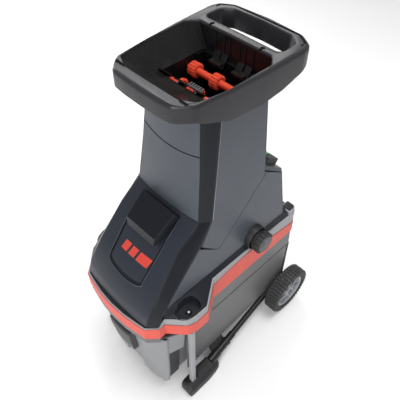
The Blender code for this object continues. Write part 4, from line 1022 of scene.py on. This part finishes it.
SEAM_Z, SEAM_SAG, TOWER_FRONT_HALF = 0.7995, 0.01, 0.088
SIDE_SEAM = (
    (-0.109, 0.564), (-0.085, 0.54), (-0.0625, 0.519), (-0.0525, 0.5162), (-0.038, 0.526),
    (0.04, 0.588), (0.1225, 0.653),
)
HIGHLIGHT_BEAD = ((0.0966, -0.0262, 0.904), (0.1089, -0.0484, 0.765), (0.1212, -0.0706, 0.6265))


def tower_lines():
    """The dark joints between the mouldings, and a light bead where pillar and side meet, coloured as a
    painted highlight.
    """
    front = []
    for k in range(17):
        f = k / 8 - 1
        start = (f * TOWER_FRONT_HALF * 0.985, -0.5, SEAM_Z - SEAM_SAG * (1 - f * f) - 0.0008)
        front.append(on_surface("tower_front_lower", start, (0, 1, 0))[0] + Vector((0, 0, 0.0008)))
    linked("front_seam", tube(front, 0.001, sides=8), "pillar")
    seam = smooth_line([(0.0, y, z) for y, z in SIDE_SEAM], 4)
    for side, name in ((1, "right"), (-1, "left")):
        line = [(side * (0.1227 - 0.0875 * (point.z - 0.6)), point.y, point.z) for point in seam]
        linked("side_seam_" + name, tube(line, 0.0007, sides=8), "pillar")
        # The bead's light colour is a painted highlight of the rounded edge.
        bead = [(side * x, y, z) for x, y, z in HIGHLIGHT_BEAD]
        linked("pillar_highlight_bead_" + name, tube(bead, 0.0012, sides=10), "bead")


# ---------------------------------------------------------------- base: ledge, deck and pods
# Half plan, front middle to rear middle: x, y, top of the ledge, deck's inner edge x, y, z.
STATIONS = (
    (0.0000, -0.3085, 0.396, 0.0000, -0.28, 0.396),
    (0.045, -0.306, 0.396, 0.045, -0.2775, 0.396),
    (0.082, -0.3, 0.396, 0.08, -0.272, 0.396),
    (0.115, -0.2935, 0.396, 0.102, -0.264, 0.396),
    (0.139, -0.2665, 0.396, 0.121, -0.25, 0.396),
    (0.139, -0.247, 0.413, 0.13, -0.243, 0.44),
    (0.18, -0.21, 0.418, 0.135, -0.205, 0.446),
    (0.188, -0.1865, 0.419, 0.1355, -0.185, 0.447),
    (0.188, -0.1465, 0.42, 0.1358, -0.145, 0.448),
    (0.15, -0.0895, 0.437, 0.136, -0.085, 0.45),
    (0.15, -0.02, 0.437, 0.136, -0.02, 0.45),
    (0.15, 0.055, 0.437, 0.136, 0.055, 0.45),
    (0.15, 0.11, 0.437, 0.136, 0.1, 0.45),
    (0.15, 0.1535, 0.435, 0.136, 0.15, 0.45),
    (0.15, 0.2365, 0.43, 0.136, 0.196, 0.45),
    (0.142, 0.2485, 0.43, 0.126, 0.2075, 0.45),
    (0.0000, 0.2485, 0.43, 0.0000, 0.2075, 0.45),
)
DECK_LOW = 0.375
BAND_STEP, LEDGE_WIDE = 0.002, 0.0034
KNOB = Vector((0.0, 0.07, 0.46))
POD_RECESS = (
    (0.148, -0.2255), (0.164, -0.22), (0.178, -0.206), (0.1815, -0.183), (0.178, -0.16),
    (0.162, -0.1555), (0.145, -0.164), (0.14, -0.185), (0.1415, -0.208),
)
POD_CORNER, POD_FLOOR = 0.006, 0.411
POD_PIN = (0.162, -0.19)
CAP_PLAN = ((0.113, 0.213), (0.1465, 0.213), (0.1465, 0.235), (0.1395, 0.2455), (0.113, 0.2455))
# Upwards over a rear corner's boss and over its dark top: how far in from the plan, z.
CAP_SIDES = ((0.0, 0.428), (0.0, 0.4425), (0.0008, 0.444), (0.003, 0.4452))
CAP_TOP = ((0.0032, 0.4448), (0.0036, 0.4459), (0.006, 0.4464))


def ring_stations():
    """Each station's outer point, ledge point, ledge height and deck edge, all the way round."""
    plan = mirrored([s[0:2] for s in STATIONS])
    edges = mirrored([s[3:6] for s in STATIONS])
    tops = [s[1] for s in mirrored([(s[0], s[2]) for s in STATIONS])]
    return zip(inset(plan, BAND_STEP), inset(plan, BAND_STEP + LEDGE_WIDE), tops, edges)


def knob_hole():
    return tube([(0.12, KNOB.y, KNOB.z), (0.17, KNOB.y, KNOB.z)], 0.0345, sides=40)


def base_ledge():
    """The light rim that stands above the red band."""
    sections = []
    for (ox, oy), (ix, iy), top, _ in ring_stations():
        sections.append([(ox, oy, DECK_LOW), (ox, oy, top - 0.0006), (ix, iy, top), (ix, iy, DECK_LOW)])
    mesh = carve(ring_of(sections), [knob_hole()])
    linked("base_ledge", mesh, "ledge", edge=0.0007, replaced=("base_deck",))


def pod_plan(side):
    return [(side * x, y) for x, y in POD_RECESS]


def base_deck_top():
    """The dark sloping deck between the ledge and the housing, open at the pods' recesses."""
    sections = []
    for _, (ix, iy), top, (ex, ey, ez) in ring_stations():
        sections.append([(ix, iy, top - 0.0012), (ex, ey, ez), (ex, ey, ez - 0.0034), (ix, iy, top - 0.0046)])
    recesses = [prism(rounded_corners(pod_plan(side), POD_CORNER), 0.39, 0.47) for side in (1, -1)]
    mesh = carve(ring_of(sections), [knob_hole(), *recesses], solver="MANIFOLD")
    linked("deck_top", mesh, "deck", edge=0.0005)


def pod_trays():
    """The sunk tray of each pod and the bright screw that holds the corner post."""
    dome = ((0.0, 0.005), (0.006, 0.0046), (0.0072, 0.003), (0.0085, 0.0), (0.0085, -0.001), (0.0, -0.001))
    for name, side in (("right", 1), ("left", -1)):
        outline = rounded_corners(pod_plan(side), POD_CORNER)
        wide = inset(outline, -0.0014)
        tops = [on_surface("base_deck", (x, y, 0.6), (0, 0, -1))[0].z - 0.0008 for x, y in outline]
        rows = [level(wide, POD_FLOOR - 0.002), [(x, y, z) for (x, y), z in zip(wide, tops)],
                [(x, y, z) for (x, y), z in zip(outline, tops)], level(outline, POD_FLOOR)]
        linked("pod_tray_" + name, loft(rows), "deck", edge=0.0004)
        centre = Vector((side * POD_PIN[0], POD_PIN[1], POD_FLOOR))
        boss = spun(dome, centre, UPWARDS, steps=32, closed=False)
        linked("pod_boss_" + name, boss, "deck")
        screw("pod_pin_" + name, centre + Vector(UPWARDS) * 0.0052, UPWARDS, 0.0036)


def knob_cup():
    """The round collar that the adjusting knob turns in."""
    back, front = 0.134, 0.1512
    profile = [(0.0343, back), (0.0343, front - 0.0008), (0.0338, front), (0.0326, front)]
    profile += [(0.0322, front - 0.0008), (0.0322, back + 0.003), (0.012, back + 0.003), (0.012, back)]
    linked("knob_cup", spun(profile, KNOB), "inner")


def corner_caps():
    """Rounded bosses on the deck's rear corners, dark on top."""
    for name, side in (("right", 1), ("left", -1)):
        outline = rounded_corners([(side * x, y) for x, y in CAP_PLAN], 0.005)
        boss = loft([level(inset(outline, cut), z) for cut, z in CAP_SIDES])
        linked("corner_boss_" + name, boss, "ledge", edge=0.0004)
        top = loft([level(inset(outline, cut), z) for cut, z in CAP_TOP])
        linked("corner_boss_top_" + name, top, "deck", edge=0.0003)


# ---------------------------------------------------------------- knob and wheels
KNOB_LOBES, LOBE_STEPS = 14, 8
# The grip from its base to its face: radius, x, depth of the finger flutes.
KNOB_ROWS = (
    (0.0285, 0.1605, 0.003), (0.0312, 0.162, 0.003), (0.0312, 0.1748, 0.003),
    (0.03, 0.177, 0.003), (0.027, 0.1776, 0.001), (0.0262, 0.176, 0.0),
)
KNOB_BASE, STEM_RADIUS = 0.1518, 0.01
# The collar under the grip: radius, distance from the knob's base.
KNOB_COLLAR = (
    (STEM_RADIUS, 0.0), (0.0265, 0.0), (0.0278, 0.0012), (0.0278, 0.004),
    (0.025, 0.0052), (0.025, 0.0094), (STEM_RADIUS, 0.0094),
)


def lobed(radius, x, depth):
    """A ring round the knob's axis, drawn in at each finger flute."""
    points = []
    count = KNOB_LOBES * LOBE_STEPS
    for k in range(count):
        a = math.tau * k / count
        r = radius - depth * (1 - abs(math.sin(a * KNOB_LOBES / 2)) ** 0.6)
        points.append((x, KNOB.y + r * math.cos(a), KNOB.z + r * math.sin(a)))
    return points


def adjusting_knob():
    """Fluted grip on a collar and a stem, with a dished face and a pale pointer."""
    low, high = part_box("adjuster_knob")
    collar = spun([(r, KNOB_BASE + x) for r, x in KNOB_COLLAR], KNOB, steps=64)
    stem = tube([(low.x, KNOB.y, KNOB.z), (KNOB_BASE + 0.001, KNOB.y, KNOB.z)], STEM_RADIUS, sides=24)
    grip = joined(loft([lobed(*row) for row in KNOB_ROWS]), collar, stem)
    linked("knob_grip", grip, "soft", "knob", replaced=("adjuster_knob",))
    dish = ((0.0, 0.0002), (0.017, 0.0003), (0.0185, 0.001), (0.0195, 0.001), (0.021, 0.0004),
            (0.0245, 0.0012), (0.0254, 0.003))
    face = [*[(r, high.x - drop) for r, drop in dish], (0.0254, 0.176), (0.0, 0.176)]
    linked("knob_face", spun(face, KNOB, closed=False), "face", "knob")
    pointer = block((high.x - 0.0012, KNOB.y - 0.0012, KNOB.z + 0.011),
                    (high.x - 0.0001, KNOB.y + 0.0012, KNOB.z + 0.0165))
    linked("knob_pointer", pointer, "ledge", "knob", edge=0.0003)


HUB = Vector((0.0, 0.2245, 0.0842))
WHEEL_IN, WHEEL_OUT, WHEEL_R = 0.1604, 0.204, 0.0842
WHEEL_MIDDLE, RIM_FACE = (WHEEL_IN + WHEEL_OUT) / 2, WHEEL_OUT - 0.004
TREAD_BLOCKS, SPOKE_PAIRS = 44, 6
# A spoke from the hub out: radius, degrees off the pair's middle, half width, depth below the rim's face.
SPOKE = (
    (0.014, 7.0, 0.003, 0.0002), (0.03, 9.0, 0.0024, 0.003),
    (0.045, 12.5, 0.0026, 0.0036), (0.0545, 15.5, 0.0034, 0.0016),
)
SPOKE_THICK = 0.0042


def wheel_place(r, angle, x):
    return (x, HUB.y + r * math.cos(angle), HUB.z + r * math.sin(angle))


def wedge(r0, r1, a0, a1, x0, x1, skew=0.0):
    """A block of the wheel between two radii, two angles and two widths; skew turns its outer side on."""
    loops = []
    for r, shrink in ((r0, 0.0), (r1, 0.08)):
        d = (a1 - a0) * shrink
        loops.append([wheel_place(r, a0 + d, x0), wheel_place(r, a1 - d, x0),
                      wheel_place(r, a1 - d + skew, x1), wheel_place(r, a0 + d + skew, x1)])
    return loft(loops)


def tyre_mesh():
    """The tyre's carcass, with a bead line on its outer wall."""
    crown = WHEEL_R - 0.0022
    inner = [(0.06, 0.002), (0.066, 0.0004), (0.076, 0.0006), (0.0806, 0.0035), (crown, 0.009)]
    outer = [(crown, 0.009), (0.0806, 0.0035), (0.076, 0.0008), (0.069, 0.0006), (0.068, 0.0016),
             (0.064, 0.0016), (0.0625, 0.0008), (0.06, 0.002)]
    profile = [(r, WHEEL_IN + x) for r, x in inner] + [(r, WHEEL_OUT - x) for r, x in outer]
    return spun(profile, HUB, steps=88)


def tread_mesh():
    """Three staggered rows of blocks and the small blocks on both shoulders."""
    pitch = math.tau / TREAD_BLOCKS
    rows = (
        (0.0026, 0.0001, 0.0, 0.62, WHEEL_MIDDLE - 0.0065, WHEEL_MIDDLE + 0.0065, 0.25),
        (0.0034, 0.0004, 0.45, 1.07, WHEEL_IN + 0.004, WHEEL_MIDDLE - 0.0085, 0.0),
        (0.0034, 0.0004, 0.15, 0.77, WHEEL_MIDDLE + 0.0085, WHEEL_OUT - 0.004, 0.0),
        (0.0077, 0.003, 0.2, 0.78, WHEEL_IN + 0.0006, WHEEL_IN + 0.0046, 0.0),
        (0.0077, 0.003, 0.2, 0.78, WHEEL_OUT - 0.0046, WHEEL_OUT - 0.0006, 0.0),
    )
    blocks = []
    for k in range(TREAD_BLOCKS):
        for foot, top, start, end, x0, x1, skew in rows:
            a0, a1 = pitch * (k + start), pitch * (k + end)
            blocks.append(wedge(WHEEL_R - foot, WHEEL_R - top, a0, a1, x0, x1, pitch * skew))
    return joined(*blocks)


def spoke_mesh(middle, turn):
    """One of a pair of spokes that spread from the hub to the rim."""
    loops = []
    for r, degrees, half, drop in SPOKE:
        a, d, front = middle + turn * math.radians(degrees), half / r, RIM_FACE - drop
        back = front - SPOKE_THICK
        loops.append([wheel_place(r, a - d, front), wheel_place(r, a + d, front),
                      wheel_place(r, a + d * 0.8, back), wheel_place(r, a - d * 0.8, back)])
    return loft(loops)


def rim_mesh():
    """Ring, hub and split spokes in one moulding."""
    ring = ((0.05, -0.006), (0.052, 0.0), (0.056, 0.0012), (0.0598, -0.0002),
            (0.0598, -0.03), (0.056, -0.03), (0.053, -0.018), (0.05, -0.012))
    hub = ((0.0062, -0.026), (0.0062, 0.0004), (0.015, 0.0004), (0.0168, -0.0012), (0.0178, -0.026))
    pieces = [spun([(r, RIM_FACE + x) for r, x in ring], HUB, steps=72)]
    pieces.append(spun([(r, RIM_FACE + x) for r, x in hub], HUB, steps=40))
    for k in range(SPOKE_PAIRS):
        middle = math.tau * (k + 0.5) / SPOKE_PAIRS
        pieces += [spoke_mesh(middle, turn) for turn in (-1, 1)]
    return joined(*pieces)


def wheel_well_mesh():
    """A near-black disc of painted shade behind the spokes."""
    back = WHEEL_OUT - 0.023
    profile = [(0.017, back), (0.054, back - 0.002), (0.054, back - 0.005), (0.017, back - 0.004)]
    return spun(profile, HUB)


def hub_cap_mesh():
    outer = WHEEL_OUT - 0.0038
    profile = ((0.0, 0.0026), (0.007, 0.0022), (0.01, 0.0006), (0.01, -0.005), (0.0, -0.005))
    return spun([(r, outer + x) for r, x in profile], HUB, steps=32, closed=False)


def wheel_pieces():
    linked_pair("tyre_body_", tyre_mesh, "tyre", "wheel_", replaced="tyre_")
    # The tread blocks carry a lighter tone, a painted highlight on the tyre's black.
    linked_pair("tyre_tread_", tread_mesh, "tread", "wheel_")
    linked_pair("rim_spokes_", rim_mesh, "rim", "wheel_", 0.0006, "wheel_rim_")
    # The disc behind the spokes is painted shade.
    linked_pair("wheel_well_", wheel_well_mesh, "well", "wheel_")
    linked_pair("hub_cap_", hub_cap_mesh, "face", "wheel_")


hood_shell()
red_bars()
linked_pair("hood_shoulder_", shoulder_mesh, "pillar")
linked_pair("pillar_skin_", pillar_mesh, "pillar", replaced="corner_pillar_")
tower_lines()
base_ledge()
base_deck_top()
pod_trays()
knob_cup()
corner_caps()
adjusting_knob()
wheel_pieces()


# ---------------------------------------------------------------- collection bin
# Levels of the front moulding upwards: z, crown, half width, how far the middle channel steps back.
BIN_LEVELS = (
    (0.0302, 0.011, 0.117, 0.008), (0.034, 0.0125, 0.123, 0.008), (0.06, 0.014, 0.134, 0.008),
    (0.135, 0.017, 0.14, 0.008), (0.162, 0.019, 0.141, 0.0075), (0.17, 0.02, 0.1412, 0.0),
    (0.236, 0.026, 0.1425, 0.0), (0.303, 0.029, 0.143, 0.0), (0.3038, 0.029, 0.1446, -0.0012),
    (0.32, 0.0295, 0.1448, -0.0012), (0.3225, 0.029, 0.1436, 0.0),
)
BIN_FRONT, CHANNEL_HALF, BIN_SIDE_BACK = -0.253, 0.037, -0.205
CREASE = 0.101  # the front's flat middle and its cheeks meet in a crease here
BIN_WALL, BIN_CORNER, RETURN_STEP = 0.0024, 0.005, 0.0075
# The flared cheek upwards: z, front y, outer x, rear y.
CHEEK_ROWS = (
    (0.232, -0.244, 0.142, -0.236), (0.236, -0.247, 0.154, -0.203),
    (0.31, -0.247, 0.16, -0.203), (0.333, -0.247, 0.16, -0.203), (0.335, -0.246, 0.159, -0.204),
)
# The sheet of painted shade upwards: z, x.
SHADE_SHEET_ROWS = ((0.038, 0.1215), (0.06, 0.1275), (0.135, 0.1335), (0.234, 0.1356))
SHELF_PLAN = ((0.118, -0.276), (0.1372, -0.264), (0.16, -0.215), (0.16, -0.203), (0.118, -0.203))
# The grip upwards: z, half width, front y.
GRIP_ROWS = (
    (0.166, 0.037, -0.288), (0.169, 0.0395, -0.292), (0.245, 0.0435, -0.301),
    (0.268, 0.044, -0.3012), (0.2735, 0.0425, -0.298), (0.276, 0.0395, -0.29),
)


def bin_outline(crown, half, step):
    """Right half of one level, from the middle of the front round the corner to the back of the return."""
    def bowed(x):
        return BIN_FRONT - crown * (1 - (x / half) ** 4)

    lip = min(step, 0.0)
    crease = bowed(CREASE) + lip + 0.001
    front = [(x, bowed(x) + step) for x in (0.0, 0.018, CHANNEL_HALF - 0.0025)]
    front.append((CHANNEL_HALF + 0.002, bowed(CHANNEL_HALF) + lip + (0.0002 if step > 0 else 0.0)))
    front += [(x, bowed(x) + lip) for x in (0.06, 0.082, CREASE - 0.0012)]
    front.append((CREASE + 0.0012, crease))
    front += [(x, bowed(x) + lip + 0.0008) for x in (min(0.115, half - 0.006), min(0.128, half - 0.006))]
    turn_x, turn_y = half - BIN_CORNER, BIN_FRONT + 0.003
    for degrees in (-70, -45, -20, 0):
        a = math.radians(degrees)
        front.append((turn_x + BIN_CORNER * math.cos(a), turn_y + BIN_CORNER * math.sin(a)))
    front += [(half, turn_y + 0.0035), (half - 0.002, turn_y + 0.0052)]
    return front + [(half - RETURN_STEP, turn_y + 0.006), (half - RETURN_STEP, BIN_SIDE_BACK)]


def bin_front_shell():
    """Bowed front with a sunk middle channel, a lip on top, beaded corners and returns to the posts."""
    rows = []
    for z, crown, half, step in BIN_LEVELS:
        outline = bin_outline(crown, half, step)
        inside = []
        for k, (x, y) in enumerate(outline):
            inside.append((x - BIN_WALL if k > 10 else x, y + BIN_WALL if k <= 13 else y))
        whole = [(-x, y) for x, y in reversed(outline[1:])] + outline
        whole += [*reversed(inside), *[(-x, y) for x, y in inside[1:]]]
        rows.append(level(whole, z))
    linked("bin_front_shell", loft(rows), "bin", BIN, edge=0.0006, replaced=("bin_front",))


def cheek_mesh():
    """The flared block between the bin's front corner and the post."""
    rows = []
    for z, front, outer, rear in CHEEK_ROWS:
        back = rear + 0.002
        plan = [(0.129, front), (0.1405, front), (outer, rear), (outer - 0.003, back), (0.129, back)]
        rows.append(level(plan, z))
    return loft(rows)


def bin_shade_sheet_mesh():
    """A dark sheet of painted shade in the hollow behind the beaded corner."""
    rows = []
    for z, x in SHADE_SHEET_ROWS:
        inner, outer = x - 0.001, x + 0.0006
        rows.append(level([(inner, -0.243), (outer, -0.243), (outer, -0.206), (inner, -0.206)], z))
    return loft(rows)


def rim_shelf_mesh():
    """Closes the space between the bin's lip and the pod's underside."""
    return prism(SHELF_PLAN, 0.3352, 0.344)


def grip_mesh():
    """A bowed grip block with a finger hollow underneath."""
    rows = []
    for z, half, front in GRIP_ROWS:
        plan = [(-half, -0.27)]
        for degrees in range(-75, 76, 15):
            bow = 0.006 * (1 - math.cos(math.radians(degrees * 0.9)))
            plan.append((half * math.sin(math.radians(degrees)), front + bow))
        rows.append(level([*plan, (half, -0.27)], z))
    return carve(loft(rows), [block((-0.033, -0.294, 0.15), (0.033, -0.274, 0.23))])


bin_front_shell()
linked("bin_grip_block", grip_mesh(), "bin_dark", BIN, edge=0.0016, replaced=("bin_grip",))
linked_pair("bin_cheek_", cheek_mesh, "bin", BIN, edge=0.0012)
# Dark sheets painted as shade over the bin's side recess.
linked_pair("bin_painted_shade_", bin_shade_sheet_mesh, "bin_dark", BIN, edge=0.0004)
linked_pair("rim_shelf_", rim_shelf_mesh, "inner", edge=0.0006)


# ---------------------------------------------------------------- frame, feet and side walls
TUBE_FRONT, TUBE_REAR = Vector((0.1725, -0.116, 0.047)), Vector((0.142, 0.2115, 0.081))
# Along the side tube, as shares of its length: the sleeve's radii, and the height of the fin over it.
SLEEVE = (
    (-0.01, 0.0142), (0.1, 0.0138), (0.104, 0.0126), (0.215, 0.0124), (0.219, 0.0138), (0.243, 0.0138),
    (0.247, 0.0112), (0.33, 0.0108), (0.334, 0.0092),
)
FIN = ((0.05, 0.072), (0.075, 0.081), (0.19, 0.083), (0.225, 0.074))
# The shoe from its nose back: y, inner x, outer x, sole, shoulder and spine heights.
SHOE = (
    (-0.2249, 0.16, 0.1975, 0.006, 0.026, 0.029), (-0.2225, 0.157, 0.2, 0.001, 0.034, 0.038),
    (-0.216, 0.1545, 0.2008, 0.0002, 0.039, 0.0445), (-0.185, 0.1532, 0.2008, 0.0002, 0.04, 0.0462),
    (-0.15, 0.1532, 0.2008, 0.0002, 0.0395, 0.0462), (-0.118, 0.155, 0.1975, 0.0002, 0.037, 0.044),
    (-0.101, 0.158, 0.193, 0.001, 0.034, 0.0415), (-0.0962, 0.161, 0.1895, 0.005, 0.029, 0.037),
)
SOLE_ROUND = 0.003
CLAMP = ((0.156, 0.028), (0.1885, 0.028), (0.1885, 0.058), (0.156, 0.058))
POST_CORNER, FLUTE_RADIUS, FLUTE_OFF = 0.0055, 0.0048, 0.004
JOINT_X, JOINT_Z = 0.1484, 0.285


def along_tube(share):
    return TUBE_FRONT + (TUBE_REAR - TUBE_FRONT) * share


def sleeve_mesh():
    """The stepped sleeve over the front third of the side tube."""
    return tube([along_tube(share) for share, _ in SLEEVE], [radius for _, radius in SLEEVE], sides=24)


def fin_mesh():
    """The fin that ties the tube to the lower edge of the side wall."""
    loops = []
    for share, top in FIN:
        x, y, z = along_tube(share)
        foot = z - 0.002
        loops.append([(x - 0.002, y, foot), (x + 0.002, y, foot), (0.147, y, top), (0.144, y, top)])
    return loft(loops)


def foot_mesh():
    """Shoe with a blunt, tapered nose, a raised spine and a thin sole."""
    loops = []
    for y, x0, x1, low, side, spine in SHOE:
        shoulder, ridge = (x1 - x0) * 0.16, (x1 - x0) * 0.36
        edge = low + SOLE_ROUND
        sole = [(x0, edge), (x0 + SOLE_ROUND, low), (x1 - SOLE_ROUND, low), (x1, edge)]
        top = [(x1, side - 0.006), (x1 - shoulder, side + 0.001), (x1 - ridge, spine)]
        top += [(x0 + ridge, spine), (x0 + shoulder, side + 0.001), (x0, side - 0.006)]
        loops.append([(x, y, z) for x, z in [*sole, *top]])
    return loft(loops)


def clamp_mesh():
    """The clamp that holds the tube in the shoe."""
    outline = rounded_corners(CLAMP, 0.01, 5)
    loops = []
    for y, cut in ((-0.179, 0.003), (-0.1765, 0.0), (-0.123, 0.0), (-0.1205, 0.003)):
        loops.append([(x, y, z) for x, z in inset(outline, cut)])
    return loft(loops)


def post_mesh():
    """The light corner post: a rounded channel with a shallow flute in its front and its outer face."""
    (x0, y0, z0), (x1, y1, z1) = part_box("corner_post_right")
    outline = rounded_corners(((x0, y0), (x1, y0), (x1, y1), (x0, y1)), POST_CORNER, 5)
    bar = loft([level(outline, z) for z in (z0, (z0 + z1) / 2, z1)])
    flutes = []
    for x, y in (((x0 + x1) / 2, y0 - FLUTE_OFF), (x1 + FLUTE_OFF, (y0 + y1) / 2)):
        flutes.append(tube([(x, y, z0 - 0.01), (x, y, z1 + 0.01)], FLUTE_RADIUS, sides=20))
    return carve(bar, flutes)


def wall_joint_mesh():
    """The thin dark joint along the top of the side wall."""
    return tube([(JOINT_X, -0.182, JOINT_Z), (JOINT_X, 0.228, JOINT_Z)], 0.0008, sides=8)


def rear_bracket_mesh():
    """The bracket under the ledge's rear corner and the two ribs below it."""
    ribs = [block((0.144, y, 0.098), (0.1476, y + 0.0036, 0.284)) for y in (0.2335, 0.2405)]
    return joined(block((0.13, 0.2405, 0.27), (0.143, 0.2475, 0.307)), *ribs)


linked_pair("tube_sleeve_", sleeve_mesh, "frame")
linked_pair("tube_bracket_", fin_mesh, "frame", edge=0.0006)
linked_pair("foot_shoe_", foot_mesh, "soft", edge=0.0012, replaced="front_foot_")
linked_pair("foot_clamp_", clamp_mesh, "soft", edge=0.0008)
linked_pair("post_channel_", post_mesh, "ledge", edge=0.0004, replaced="corner_post_")
linked_pair("wall_joint_", wall_joint_mesh, "inner")
linked_pair("rear_bracket_", rear_bracket_mesh, "frame", edge=0.001)


# ---------------------------------------------------------------- rear
WALL_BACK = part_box("rear_wall")[1].y
LOUVRE_ROWS, LOUVRE_FOOT, LOUVRE_PITCH = 9, 0.14, 0.013
WALL_SCREWS = ((-0.105, 0.262), (0.105, 0.262), (-0.105, 0.086), (0.105, 0.086), (0.0, 0.262))
TOWER_SCREWS = ((-0.072, 0.87), (0.072, 0.87), (-0.08, 0.7), (0.08, 0.7))
COVER_SCREWS = ((-0.1, 0.56), (0.1, 0.56), (-0.104, 0.48), (0.104, 0.48))


def louvre_mesh():
    """Hooded blades over the motor space's air slots, in two banks."""
    blade = ((WALL_BACK - 0.001, 0.0), (WALL_BACK + 0.0022, 0.0), (WALL_BACK - 0.0004, 0.0075))
    blades = []
    for k in range(LOUVRE_ROWS):
        foot = LOUVRE_FOOT + k * LOUVRE_PITCH
        for ends in ((-0.08, -0.006), (0.006, 0.08)):
            blades.append(loft([[(x, y, foot + rise) for y, rise in blade] for x in ends]))
    return joined(*blades)


def rear_screws():
    """The screws of the rear wall, the tower's back and the rear cover."""
    for k, (x, z) in enumerate(WALL_SCREWS):
        screw(f"rear_wall_screw_{k}", (x, WALL_BACK, z), REARWARDS)
    for k, (x, z) in enumerate(TOWER_SCREWS):
        place, _ = on_surface("tower_back", (x, 0.5, z), (0, -1, 0))
        screw(f"tower_back_screw_{k}", place, REARWARDS)
    for k, (x, z) in enumerate(COVER_SCREWS):
        screw(f"rear_cover_screw_{k}", *on_surface("rear_cover", (x, 0.5, z), (0, -1, 0)))


linked("rear_louvres", louvre_mesh(), "wall", edge=0.0004)
rear_screws()
